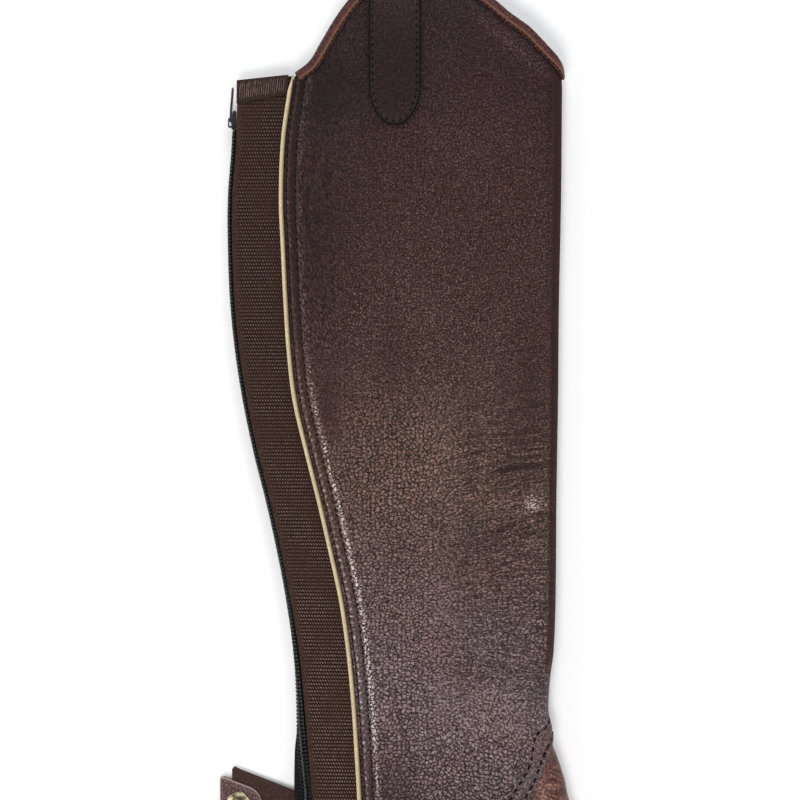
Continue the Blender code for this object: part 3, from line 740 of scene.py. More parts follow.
class Nodes:
    """A procedural material, written as sums of sockets."""

    def __init__(self, name):
        self.material = bpy.data.materials.new(name)
        self.material.use_nodes = True
        self.tree = self.material.node_tree
        self.shader = self.tree.nodes["Principled BSDF"]

    def give(self, socket, value):
        """Links an output to a socket, or sets the socket's own value."""
        if isinstance(value, bpy.types.NodeSocket):
            self.tree.links.new(value, socket)
        elif value is not None:
            socket.default_value = (*value, 1.0) if socket.type == "RGBA" else value

    def node(self, kind, inputs=(), **settings):
        made = self.tree.nodes.new(kind)
        for key, value in settings.items():
            setattr(made, key, value)
        for key, value in dict(inputs).items():
            self.give(made.inputs[key], value)
        return made

    def math(self, operation, a, b=None):
        return self.node("ShaderNodeMath", {0: a, 1: b}, operation=operation).outputs[0]

    def plus(self, a, b):
        return self.math("ADD", a, b)

    def less(self, a, b):
        return self.math("SUBTRACT", a, b)

    def times(self, a, b):
        return self.math("MULTIPLY", a, b)

    def place(self, name):
        return self.node("ShaderNodeAttribute", attribute_name=name).outputs["Vector"]

    def split(self, vector):
        return self.node("ShaderNodeSeparateXYZ", {0: vector}).outputs

    def scaled(self, vector, by):
        made = self.node("ShaderNodeVectorMath", {0: vector, 1: by}, operation="MULTIPLY")
        return made.outputs[0]

    def moved(self, vector, by):
        return self.node("ShaderNodeVectorMath", {0: vector, 1: by}).outputs[0]

    def here(self):
        """Where a point is in its object."""
        return self.node("ShaderNodeTexCoord").outputs["Object"]

    def noise(self, vector, scale, detail=3.0, roughness=0.55, output="Fac"):
        inputs = {"Vector": vector, "Scale": scale, "Detail": detail, "Roughness": roughness}
        return self.node("ShaderNodeTexNoise", inputs).outputs[output]

    def cells(self, vector, scale, feature="DISTANCE_TO_EDGE", output="Distance"):
        inputs = {"Vector": vector, "Scale": scale, "Randomness": 0.9}
        made = self.node("ShaderNodeTexVoronoi", inputs, voronoi_dimensions="2D", feature=feature)
        return made.outputs[output]

    def lots(self, vector, scale):
        """A number for each cell, the same all over it."""
        return self.split(self.cells(vector, scale, "F1", "Color"))[0]

    def between(self, value, low, high, to_low=0.0, to_high=1.0):
        inputs = {"Value": value, "From Min": low, "From Max": high, "To Min": to_low, "To Max": to_high}
        return self.node("ShaderNodeMapRange", inputs, interpolation_type="SMOOTHSTEP").outputs[0]

    def mix(self, share, a, b, blend="MIX"):
        """A mix of two colours."""
        made = self.node("ShaderNodeMix", {"Factor": share}, data_type="RGBA", blend_type=blend)
        for socket, value in zip([s for s in made.inputs if s.type == "RGBA"], (a, b)):
            self.give(socket, value)
        return [s for s in made.outputs if s.type == "RGBA"][0]

    def blend(self, share, a, b):
        """A mix of two numbers."""
        return self.node("ShaderNodeMix", {"Factor": share, "A": a, "B": b}).outputs["Result"]

    def done(self, colour, roughness, height=None, depth=0.0, **fixed):
        """Links what varies to the shader, and sets what doesn't on its own sockets."""
        for key, value in {"Base Color": colour, "Roughness": roughness, **fixed}.items():
            self.give(self.shader.inputs[key.replace("_", " ")], value)
        if height is not None:
            bump = self.node("ShaderNodeBump", {"Strength": 1.0, "Distance": depth * MM, "Height": height})
            self.give(self.shader.inputs["Normal"], bump.outputs[0])
        return self.material


def leather(name, valley, flat, warm, cell=2.3, depth=0.12, shine=(0.28, 0.5), edge=None):
    """Pebbled hide: soft round cells or drawn-out ones, dark between them and lighter on top, with painted
    highlight specks, a painted glint, a painted mauve sheen and painted shade along fine creases; the edge
    colour carries painted light on some pieces.
    """
    n = Nodes(name)
    long, deep, tone_and_painted_light = n.split(n.place("zone"))[:3]
    painted_sheen, wrinkled, edge_colour_and_painted_light = n.split(n.place("wash"))[:3]
    grain = n.place("grain")
    shift = n.scaled(n.noise(grain, 0.4, 2.0, 0.5, "Color"), (3.6, 3.6, 0.0))
    round_at = n.moved(grain, shift)
    long_at = n.moved(n.place("slant"), shift)
    scale = 1 / cell
    long = n.between(long, 0.4, 0.62)
    fine_at = n.scaled(round_at, (1.15, 1.6, 1.0))
    patch = n.noise(grain, 0.15, 2.0)
    fine = n.between(n.plus(n.split(n.place("slant"))[2], patch), 0.8, 1.2)

    def over_all(reading):
        """A reading of the cells, from whichever kind of grain shows at a place."""
        value = n.blend(wrinkled, reading(round_at, scale), reading(fine_at, scale))
        value = n.blend(fine, value, reading(round_at, scale * 1.45))
        return n.blend(long, value, reading(long_at, scale * 1.4))

    rim, lot = over_all(n.cells), over_all(n.lots)
    dome = n.between(rim, 0.01, n.blend(long, n.blend(fine, 0.24, 0.32), 0.3))
    small = n.between(n.cells(round_at, scale * 2.3), 0.0, 0.4)
    speck = n.between(n.noise(grain, 0.8, 2.0, 0.8), 0.4, 0.66)
    filled = n.between(n.noise(grain, 0.22, 3.0), 0.3, 0.55, 0.75, 1.0)
    strong = n.times(n.times(deep, filled), n.blend(wrinkled, 1.0, 0.7))
    long_noise = n.noise(n.scaled(grain, (0.13, 1.0, 0.0)), 0.5, 2.0)
    crease = n.between(n.math("ABSOLUTE", n.less(long_noise, 0.5)), 0.06, 0.0)
    crease = n.times(crease, wrinkled)
    relief = n.times(n.times(dome, strong), n.plus(0.65, n.times(lot, 0.35)))
    height = n.plus(relief, n.times(small, 0.22))
    height = n.plus(height, n.times(speck, 0.3))
    height = n.less(height, n.times(crease, 1.2))
    shown = n.times(dome, n.plus(0.56, n.times(lot, 0.5)))
    shown = n.blend(strong, n.plus(0.4, n.times(small, 0.25)), shown)
    # speck also paints small highlight dots on the cell tops, and crease paints shade along the fine
    # creases.
    shown = n.times(shown, n.plus(0.36, n.times(speck, 1.25)))
    shown = n.times(shown, n.less(1.0, n.times(crease, 0.6)))
    shown = n.blend(0.4, shown, n.between(shown, 0.08, 1.05, 0.0, 1.25))
    colour = n.mix(n.between(tone_and_painted_light, 0.15, 0.8), (flat[0], flat[1] * 0.74, flat[2] * 0.8), flat)
    # Painted mauve sheen.
    colour = n.mix(painted_sheen, colour, n.mix(1.0, colour, (0.98, 1.1, 1.46), "MULTIPLY"))
    warmth = n.between(n.noise(grain, 0.03, 3.0, 0.5), 0.42, 0.7, 0.0, 0.28)
    colour = n.mix(warmth, colour, warm)
    colour = n.mix(n.times(shown, tone_and_painted_light), valley, colour)
    # Painted glint, pale grey, where the painted light goes past 1.
    painted_glint = n.times(n.between(tone_and_painted_light, 1.05, 1.8), n.between(shown, 0.35, 0.8))
    colour = n.mix(painted_glint, colour, (0.55, 0.5, 0.46))
    rough = n.less(shine[1], n.times(shown, shine[1] - shine[0]))
    # The edge colour, which carries painted light on some pieces: painted shade at the front fold, a
    # painted highlight on the binding, black edge paint with painted shadow on the tab, a cut-edge colour
    # on the straps.
    if edge:
        colour = n.mix(edge_colour_and_painted_light, colour, edge)
        rough = n.blend(edge_colour_and_painted_light, rough, 0.95)
    return n.done(colour, rough, height, depth, Specular_IOR_Level=0.2)


def elastic_material():
    """A ribbed web with rows of small slanting stitches, and a plain selvedge by the zip."""
    n = Nodes("elastic_web")
    s, t, edge = n.split(n.place("cloth"))[:3]
    above_zero = 1000.0
    row = n.plus(n.math("DIVIDE", t, RIB_PITCH), above_zero)
    odd = n.math("MODULO", n.math("FLOOR", row), 2.0)
    fall = n.less(n.math("FRACT", row), 0.5)
    column = n.plus(n.math("DIVIDE", s, 1.4), n.times(odd, 0.5))
    column = n.plus(n.plus(column, n.times(fall, 0.55)), above_zero)
    wide = n.math("ABSOLUTE", n.less(n.math("FRACT", column), 0.5))
    far = n.plus(n.times(wide, wide), n.times(n.times(fall, fall), 0.8))
    dot = n.between(far, 0.12, 0.01)
    fuzz = n.noise(n.place("cloth"), 1.4, 3.0)
    wash = n.noise(n.place("cloth"), 0.05, 2.0)
    # The dots are painted lighter towards the ankle: painted light.
    light = n.mix(n.between(t, -190.0, 150.0), (0.27, 0.165, 0.13), (0.16, 0.105, 0.078))
    web = n.mix(n.times(dot, n.between(fuzz, 0.25, 0.65)), (0.009, 0.0035, 0.0022), light)
    web = n.mix(n.between(wash, 0.35, 0.65, 0.0, 0.5), web, (0.03, 0.012, 0.007))
    selvedge = n.mix(n.between(fuzz, 0.35, 0.7), (0.018, 0.008, 0.005), (0.06, 0.032, 0.022))
    colour = n.mix(edge, web, selvedge)
    return n.done(colour, 0.85, n.plus(dot, n.times(fuzz, 0.4)), 0.12, Specular_IOR_Level=0.15)


def woven(name, dark, light, pitch=0.7):
    """A fine plain weave for tapes and bands."""
    n = Nodes(name)
    cloth = n.place("cloth")
    s, t = n.split(cloth)[:2]
    across = n.math("SINE", n.times(s, 2 * math.pi / pitch))
    up = n.math("SINE", n.times(t, 2 * math.pi / pitch))
    knit = n.between(n.times(across, up), -0.8, 0.9)
    fuzz = n.noise(cloth, 1.1, 3.0)
    colour = n.mix(n.times(knit, n.between(fuzz, 0.25, 0.8)), dark, light)
    return n.done(colour, 0.8, n.plus(knit, fuzz), 0.08, Specular_IOR_Level=0.15)


def mottled(name, dark, light, rough, scale, bump, **fixed):
    """A moulded, metal or thread finish with worn lighter places."""
    n = Nodes(name)
    at = n.scaled(n.here(), PER_MM)
    blotch = n.noise(at, scale, 4.0, 0.6)
    fine = n.noise(at, scale * 9, 2.0)
    share = n.between(blotch, 0.35, 0.68)
    roughness = n.plus(rough[0], n.times(fine, rough[1] - rough[0]))
    return n.done(n.mix(share, dark, light), roughness, fine, bump, **fixed)


def cord_material():
    """Cream cord cover, with painted shade, dark olive, on the side that it turns to the leather."""
    n = Nodes("piping_cream")
    cord = n.place("cord")
    painted_shade_side = n.split(cord)[1]
    fine = n.noise(cord, 1.6, 3.0, 0.6)
    drift = n.noise(cord, 0.06, 2.0)
    cream = n.mix(n.between(fine, 0.35, 0.7), (0.45, 0.35, 0.185), (0.66, 0.54, 0.35))
    cream = n.mix(n.between(drift, 0.35, 0.65, 0.0, 0.4), cream, (0.42, 0.35, 0.23))
    colour = n.mix(painted_shade_side, cream, (0.13, 0.1, 0.045))
    return n.done(colour, 0.6, fine, 0.05, Specular_IOR_Level=0.3)


def coil_material():
    """Black nylon, with painted glints, lighter grey, at one end of each turn in the first row and on the
    beads where the rows meet.
    """
    n = Nodes("coil_black")
    at = n.scaled(n.here(), PER_MM)
    fine = n.noise(at, 0.9, 3.0)
    black = n.mix(fine, (0.002, 0.002, 0.002), (0.006, 0.006, 0.007))
    worn_and_painted_glint = n.times(n.split(n.place("painted_coil_glint"))[0], n.between(fine, 0.35, 0.6, 0.5, 1.0))
    return n.done(n.mix(worn_and_painted_glint, black, (0.06, 0.062, 0.066)), 0.3, fine, 0.02, Specular_IOR_Level=0.12)


VALLEY, FLAT, WARM = (0.007, 0.0018, 0.0015), (0.26, 0.158, 0.126), (0.25, 0.105, 0.065)
# Its edge colour is painted shade, dark red-brown, where the hide turns down at the front fold.
hide_brown = leather("hide_brown", VALLEY, FLAT, WARM, edge=(0.02, 0.005, 0.003))
hide_instep = leather(
    "hide_instep", (0.03, 0.009, 0.006), (0.36, 0.165, 0.125), (0.32, 0.09, 0.05), 1.7, 0.12, (0.2, 0.36)
)
# Its edge colour is a painted highlight, orange-brown, along the binding's rolled lower edge.
hide_bound = leather(
    "hide_bound", (0.02, 0.006, 0.005), (0.2, 0.085, 0.075), (0.16, 0.05, 0.035),
    1.1, 0.08, (0.3, 0.5), (0.3, 0.13, 0.06),
)
# Its edge colour is black edge paint, darkened and widened as painted shadow round the rim.
hide_tab = leather(
    "hide_tab", VALLEY, (0.075, 0.05, 0.052), WARM, 1.6, 0.08, (0.3, 0.5), (0.002, 0.0015, 0.0015)
)
hide_strap = leather(
    "hide_strap", (0.02, 0.01, 0.009), (0.36, 0.22, 0.21), (0.3, 0.14, 0.1),
    1.5, 0.14, (0.3, 0.5), (0.34, 0.27, 0.25),
)
hide_under = leather(
    "hide_under", (0.006, 0.003, 0.002), (0.085, 0.045, 0.034), (0.09, 0.035, 0.022),
    1.9, 0.14, (0.4, 0.6), (0.16, 0.06, 0.03),
)
web_brown = elastic_material()
band_brown = woven("band_brown", (0.012, 0.006, 0.004), (0.085, 0.05, 0.038), 1.1)
tape_black = woven("tape_black", (0.002, 0.002, 0.0025), (0.012, 0.012, 0.015))
piping_cream = cord_material()
coil_black = coil_material()
moulded_black = mottled(
    "moulded_black", (0.006, 0.006, 0.007), (0.025, 0.025, 0.028), (0.28, 0.5), 0.6, 0.03
)
thread_dark = mottled(
    "thread_dark", (0.001, 0.001, 0.001), (0.004, 0.003, 0.003), (0.4, 0.6), 1.2, 0.04,
    Specular_IOR_Level=0.08,
)
thread_brown = mottled("thread_brown", (0.035, 0.015, 0.01), (0.15, 0.095, 0.072), (0.6, 0.8), 0.5, 0.05)
brass = mottled(
    "antique_brass", (0.11, 0.085, 0.05), (0.36, 0.3, 0.2), (0.3, 0.46), 0.3, 0.02, Metallic=1.0
)


# Leather pieces.


def panel_grid(fine=24, coarse=104, fold=32, strip=20, rows=460):
    """Places (along, y) of the outer panel's points, closer together beside the seam."""
    near = 12.0
    u = np.arange(fine + coarse + fold + strip + 1)

    def columns(y):
        start = panel_start(y)
        part = start + near * u / fine
        rest = (start + near) * (1 - np.clip((u - fine) / coarse, 0, 1))
        turn = FOLD_GIRTH * (u - fine - coarse) / fold
        flat = FOLD_GIRTH + FRONT_STRIP * (u - fine - coarse - fold) / strip
        along = np.where(u <= fine, part, rest)
        along = np.where(u > fine + coarse, turn, along)
        return np.where(u > fine + coarse + fold, flat, along)

    bottom, top = column_ends(columns, panel_foot, bound_top, len(u))
    y = bottom + (top - bottom) * np.linspace(0, 1, rows + 1)[:, None]
    return columns(y), y


def outer_panel():
    along, y = panel_grid()
    outer = skin(along, y, -panel_relief(along, y))
    inner = skin(thinned(along), thinned(y), LEATHER)
    x = fold_x(y) + along
    grids = hide(x, y, (along - panel_start(y)) / seam_lean(y))
    foot = above_lap(along, y)
    grids["zone"][..., 1] *= 1 - 0.8 * ease((11.0 - foot) / 3.0) * (lap(along) > hem(along))
    values = hide_of(grids, INNER_STEP)
    shape = shell(outer, inner, INNER_STEP)
    obj = piece("outer_panel_hide", shape, hide_brown, "outer_panel", values=values)
    return obj


def inner_panel():
    start = FOLD_GIRTH + FRONT_STRIP + SEAM_GAP
    share = np.linspace(0, 1, 57)

    def columns(y):
        return start + (inner_end(y) - start) * share

    bottom, top = column_ends(columns, panel_foot, bound_top, len(share))
    y = bottom + (top - bottom) * np.linspace(0, 1, 217)[:, None]
    along = columns(y)
    relief = np.minimum(hidden_creases(along, y), 0) + rounded(along - along[:, :1], 0.4)
    outer = skin(along, y, -relief)
    inner = skin(thinned(along), thinned(y), LEATHER)
    x = fold_x(y) + 2 * FOLD_GIRTH - along
    values = hide_of(hide(x, y, np.full(x.shape, FAR_FROM_SEAM)), INNER_STEP)
    shape = shell(outer, inner, INNER_STEP)
    obj = piece("inner_panel_hide", shape, hide_brown, "inner_panel", values=values)
    return obj


def instep_wrinkles(along, y):
    """Fine wrinkles that fan out below the lap, from -1 to 1."""
    foot = above_lap(along, y)
    fan = np.sin(1.5 * (y + 0.3 * along) + 2.6 * np.sin(0.31 * along + 0.37 * y))
    fan = 0.65 * fan + 0.35 * np.sin(3.3 * y - 0.9 * along + 1.5 * np.sin(0.8 * along))
    return fan * ease((-foot - 1) / 5) * bell((along + 2) / 13)


def instep_relief(along, y):
    foot = above_lap(along, y)
    shown = ease(-foot / 3.0)
    upper = ease((20 - along) / 6)
    fine = 0.3 * instep_wrinkles(along, y)
    broad = 0.45 * bell((y + 0.5 * along + 214) / 5.5) - 0.35 * bell((y + 0.45 * along + 226) / 4.5)
    low = rounded(y - hem(along), 0.4)
    return shown * (upper * (fine + broad)) + low


def instep():
    along = np.linspace(FOLD_MIDDLE - INSTEP_REACH, FOLD_MIDDLE + INSTEP_REACH, 225)[None]
    bottom, top = hem(along), below(lap, along, -LAP_TONGUE)
    y = bottom + (top - bottom) * np.linspace(0, 1, 121)[:, None]
    along = np.broadcast_to(along, y.shape)
    outer_depth = instep_depth(along, y)
    outer = skin(along, y, outer_depth - instep_relief(along, y))
    inner = thinned(skin(along, y, outer_depth + LEATHER))
    x = fold_x(y) + along
    grids = {"grain": vectors(x, y, 0), "slant": slant_of(x, y)}
    # Painted highlights on the fine wrinkles and in a band just before the front fold, painted shade where
    # the hide turns down past it, and a little painted mauve sheen.
    tone_and_painted_light = 0.6 + 0.75 * instep_wrinkles(along, y) + 0.6 * bell((along + 6) / 3.5)
    tone_and_painted_light = tone_and_painted_light - 0.3 * ease((along - 1) / 5)
    grids["zone"] = vectors(0.25, 0.5, np.clip(tone_and_painted_light, 0.05, 1.4))
    grids["wash"] = vectors(0.2, 0.3, np.zeros(x.shape))
    values = hide_of(grids, INNER_STEP)
    shape = shell(outer, inner, INNER_STEP)
    obj = piece("instep_hide", shape, hide_instep, "instep_piece", values=values)
    return obj


def edge_places(start, end, before, after):
    """Places along the top edge, its slope there, and how far it runs for each millimetre along."""
    turn = np.linspace(0, FOLD_GIRTH, 60)[:-1]
    places = np.concatenate([np.linspace(start, 0, before)[:-1], turn, np.linspace(FOLD_GIRTH, end, after)])
    return places, slope_of(top_edge, places), stretch(top_edge, places)


def binding():
    """A strip folded over the top edge, with a rolled lower edge beside its stitches."""
    start, end = float(panel_start(BINDING_START_Y)), float(inner_end(BINDING_END_Y))
    over, under = -FOLD_GAP, LEATHER + FOLD_GAP
    face, back = over - BINDING_THICK, under + BINDING_THICK
    wide = BINDING_WIDTH
    outer = (
        # in from the edge, depth
        (wide, over - 0.25), (wide - 0.15, face + 0.3), (5.25, face + 0.12), (5.0, face + 0.3),
        (4.7, face + 0.1), (4.3, face - 0.12), (3.6, face - 0.16), (2.6, face - 0.06),
        (1.6, face + 0.02), (0.9, face + 0.15), (0.35, face + 0.5), (0.05, 0.1), (0.0, LEATHER / 2),
        (0.05, LEATHER - 0.1), (0.35, back - 0.5), (0.9, back - 0.15), (1.8, back),
        (2.9, back + 0.05), (3.9, back), (4.4, back - 0.15), (wide - 1.0, back - 0.5),
    )
    inner = (
        (wide, over), (4.6, over), (3.6, over - 0.05), (2.6, over), (1.8, over), (1.2, over),
        (BINDING_THICK, over), (BINDING_THICK, 0.1), (BINDING_THICK, LEATHER / 2),
        (BINDING_THICK, LEATHER - 0.1), (BINDING_THICK, under), (1.2, under), (1.8, under),
        (2.9, under), (3.9, under), (4.4, under), (wide - 1.0, under),
    )
    inner = np.array(inner)
    spread = np.linspace(0, len(inner) - 1, len(outer))
    inner = np.stack([np.interp(spread, range(len(inner)), inner[:, k]) for k in (0, 1)], -1)
    outer = np.array(outer)
    places, rise, length = edge_places(start, end, 180, 110)
    run = np.concatenate([[0], np.cumsum(np.hypot(np.diff(places), np.diff(top_edge(places))))])
    pucker = 0.07 * np.cos(2 * np.pi * run / BINDING_PITCH)
    grids = []
    for profile, moves in ((outer, True), (inner, False)):
        n, depth = profile[:, 0][None], profile[:, 1][None]
        if moves:
            sign = np.where(depth < LEATHER / 2, -1, 1)
            depth = depth + sign * pucker[:, None] * bell((n - 4.2) / 1.2)
        along = places[:, None] + n * (rise / length)[:, None]
        y = top_edge(places)[:, None] - n / length[:, None]
        depth = np.minimum(depth, LEATHER + FOLD_GAP + BINDING_THICK + 0.05)
        grids.append(skin(along, y, np.where(along > FOLD_GIRTH - 4, np.maximum(depth, face), depth)))
    shape = shell(grids[0][:, ::-1], grids[1][:, ::-1])
    n = np.broadcast_to(outer[::-1, 0][None], grids[0].shape[:2])
    side = np.broadcast_to(outer[::-1, 1][None], n.shape)
    s = np.broadcast_to(run[:, None], n.shape)
    values = {
        "grain": vectors(s, n + side, 0),
        "slant": vectors(s, n + side, 0),
        "zone": vectors(0.0, 0.6, np.full(n.shape, 0.55)),
        # A painted highlight, orange-brown, along the roll near the lower edge of the outer face.
        "wash": vectors(0, 0, 0.55 * bell((n - 4.1) / 0.45) * (side < 0)),
    }
    obj = piece("binding_strip", shape, hide_bound, "top_binding", values=hide_of(values))
    return obj


def tab():
    half = TAB_WIDTH / 2
    lean = np.radians(np.linspace(-90, 90, 61))[None]
    x = TAB_CENTRE + half * np.sin(lean)
    low = TAB_FOOT + TAB_ROUND * (1 - np.cos(lean))
    high = below(top_edge, x - fold_x(230), BINDING_WIDTH + 2 * SEAM_GAP)
    y = low + (high - low) * np.linspace(0, 1, 97)[:, None] ** 1.15
    x = np.broadcast_to(x, y.shape)
    edge = tab_edge(x, y)
    relief = rounded(edge, 0.55, 1.0) - 0.22 * bell((edge - TAB_ROW) / 0.6) + 0.12 * ease((edge - 3) / 5)
    outer = on_upper(x, y, -SEAM_GAP - TAB_THICK - relief)
    shape = shell(outer, thinned(on_upper(x, y, -SEAM_GAP)), INNER_STEP)
    grids = {"grain": vectors(x, y, 0), "slant": slant_of(x, y)}
    grids["zone"] = vectors(0.3, 0.5, 0.42 + 0.1 * ease((y - 190) / 30))
    # A painted mauve sheen, and the black edge colour round the rim: edge paint with painted shadow in it.
    grids["wash"] = vectors(0.7, 0, ease((1.35 - edge) / 0.5))
    values = hide_of(grids, INNER_STEP)
    values["wash"][x.size:, 2] = 1.0
    obj = piece("top_tab_hide", shape, hide_tab, "top_tab", values=values)
    return obj


def tab_edge(x, y):
    """Distance in from the tab's long sides and its round foot."""
    side = TAB_WIDTH / 2 - np.abs(x - TAB_CENTRE)
    share = np.clip(np.abs(x - TAB_CENTRE) / (TAB_WIDTH / 2), 0, 0.995)
    foot = TAB_FOOT + TAB_ROUND * (1 - np.sqrt(1 - share**2))
    slope = TAB_ROUND / (TAB_WIDTH / 2) * share / np.sqrt(1 - share**2)
    return np.minimum(side, (y - foot) / np.hypot(1, slope))


# Elastic, piping and zip.


def elastic():
    """The ribbed web; its last columns lie beyond the seam, under the outer panel."""
    beyond = (1.2, 2.5, 6.0, PIPING_RADIUS + SEAM_GAP + ELASTIC_UNDER_PANEL)
    shown = np.linspace(0, 1, 15)
    shares = np.concatenate([shown, np.ones(len(beyond))])
    tops = np.concatenate([175.2 + 3.0 * shown, [175.0, 171.5, 168.5, 166.0]])
    bottoms = elastic_foot(shares) + 0.4
    rows = 1320
    y = bottoms + (tops - bottoms) * np.linspace(0, 1, rows + 1)[:, None]
    left, seam = elastic_x(y), piping_x(y)
    x = left + (seam - left) * shares
    x[:, len(shown):] = seam[:, len(shown):] + beyond
    s = x - left
    ribbed = ease((s - 1.6) / 0.8)
    ribs = 0.10 * np.cos(2 * np.pi * y / RIB_PITCH) * ribbed
    rim = rounded(s, 0.35, 0.6) + 0.12 * bell((s - 1.1) / 0.7)
    outer = on_upper(x, y, UNDER_LEATHER - ribs - rim)
    steps = 12, 3
    shape = shell(outer, thinned(on_upper(x, y, UNDER_LEATHER + ELASTIC), *steps), *steps)
    values = {"cloth": both(vectors(s, y, 1 - ribbed), *steps)}
    obj = piece("elastic_web", shape, web_brown, "elastic_panel", values=values)
    return obj


def piping():
    y = np.linspace(PIPING_TOP, float(hem(-110)) + 0.3, 300)
    lean = slope_of(piping_x, y) / stretch(piping_x, y)
    radius = 0.92 * PIPING_RADIUS * (0.35 + 0.65 * ease((PIPING_TOP - y) / 9.0))
    centre = on_upper(piping_x(y) + 0.8 * (PIPING_RADIUS - radius), y, LEATHER - radius)
    side = vectors(np.sqrt(1 - lean**2), -lean, 0)
    turn = np.linspace(0, 2 * np.pi, 17)[:-1]
    rings = centre[:, None] + radius[:, None, None] * (
        np.cos(turn)[None, :, None] * side[:, None] + np.sin(turn)[None, :, None] * np.array((0, 0, 1.0))
    )
    # The second value is painted shade, on the side that the cord turns to the leather.
    cord = vectors(y[:, None], 0.9 * ease((np.cos(turn)[None] + 0.1) / 0.9), np.sin(turn)[None])
    return piece("piping_cord", tube(rings), piping_cream, "piping", values={"cord": cord.reshape(-1, 3)})


def zip_frame(y):
    """The chain's inner upper corner, the direction across it and the way it faces."""
    y = np.asarray(y, float)
    tilt = np.radians(smooth(REAR, 1, y))
    corner = vectors(elastic_x(y) - SEAM_GAP, y, smooth(REAR, 4, y) - UNDER_LEATHER - ELASTIC)
    return corner, vectors(-np.cos(tilt), 0, -np.sin(tilt)), vectors(-np.sin(tilt), 0, np.cos(tilt))


def bezier(points, t):
    a, b, c, d = points
    u = 1 - t
    return u**3 * a + 3 * u * u * t * b + 3 * u * t * t * c + t**3 * d


def tape(name, node, path, top, bottom):
    """A woven tape whose outer face follows path(y) in each section."""
    rows = np.linspace(bottom, top, 121)
    points = path(rows)
    runs = np.gradient(points, axis=1)
    inward = vectors(runs[..., 2], 0, -runs[..., 0])
    inward /= np.linalg.norm(inward, axis=-1, keepdims=True)
    outer, inner = points, points + TAPE * inward
    s = np.cumsum(np.linalg.norm(np.diff(points, axis=1, prepend=points[:, :1]), axis=-1), axis=1)
    cloth = vectors(s, rows[:, None], 0)
    obj = piece(name, shell(outer, inner), tape_black, node, values={"cloth": both(cloth)})
    return obj


def outer_tape_path(y):
    corner, across, facing = zip_frame(y)
    middle = corner + (CHAIN_WIDTH / 2 - TAPE_PARTING) * across - FOLD_GAP * facing
    depth = UNDER_LEATHER + ELASTIC + SEAM_GAP
    shoulder = on_upper(elastic_x(y) + 3.5, y, depth)
    handles = (middle, middle - 1.4 * across, shoulder - np.array((2.2, 0, 0)), shoulder)
    points = [bezier(handles, t) for t in np.linspace(0, 1, 11)]
    points.append(on_upper(elastic_x(y) + TAPE_UNDER_ELASTIC, y, depth))
    return np.stack(points, 1)


def inner_tape_path(y):
    corner, across, facing = zip_frame(y)
    middle = corner + (CHAIN_WIDTH / 2 + TAPE_PARTING) * across - FOLD_GAP * facing
    turn = middle + (0.3 + 1.7 * ease((80 - smooth(REAR, 1, y)) / 40))[:, None] * across
    bulge = smooth(REAR, 3, y)[:, None]
    rest = UNDER_LEATHER + 0.45 * ease((y - 125) / 12) + STRAP_LIFT * ease((-178 - y) / 16)
    start = elastic_x(y) - SEAM_GAP + smooth(REAR, 2, y)
    landing = on_lower(start, y, rest)
    reach = 0.45 * (turn - landing)[:, 2:] / np.maximum(-across[:, 2:], 0.05)
    reach = np.minimum(bulge, reach)
    handles = (landing, landing - bulge * np.array((1.0, 0, 0)), turn + reach * across, turn)
    points = [on_lower(start + run, y, rest) for run in (8.0, 5.5, 3.0)]
    points += [bezier(handles, t) for t in np.linspace(0, 1, 13)]
    return np.stack([*points, middle], 1)


def capsules(centres, tangents, normals, length, radius, sides=6, sunk=0.0):
    """Short rounded bars, one at each centre, their ends dipping by `sunk`."""
    share = np.array((-1.0, -0.86, -0.55, 0.0, 0.55, 0.86, 1.0))
    thick = radius * np.array((0.35, 0.8, 1.0, 1.0, 1.0, 0.8, 0.35))
    turn = np.arange(sides) * 2 * np.pi / sides
    across = np.cross(normals, tangents)
    rings = centres[:, None] + tangents[:, None] * (share * length / 2)[None, :, None]
    rings = rings - normals[:, None] * (sunk * np.abs(share) ** 2)[None, :, None]
    ring = np.cos(turn)[:, None] * across[:, None, None] + np.sin(turn)[:, None] * normals[:, None, None]
    points = rings[:, :, None] + thick[None, :, None, None] * ring
    return merge([tube(bar) for bar in points])


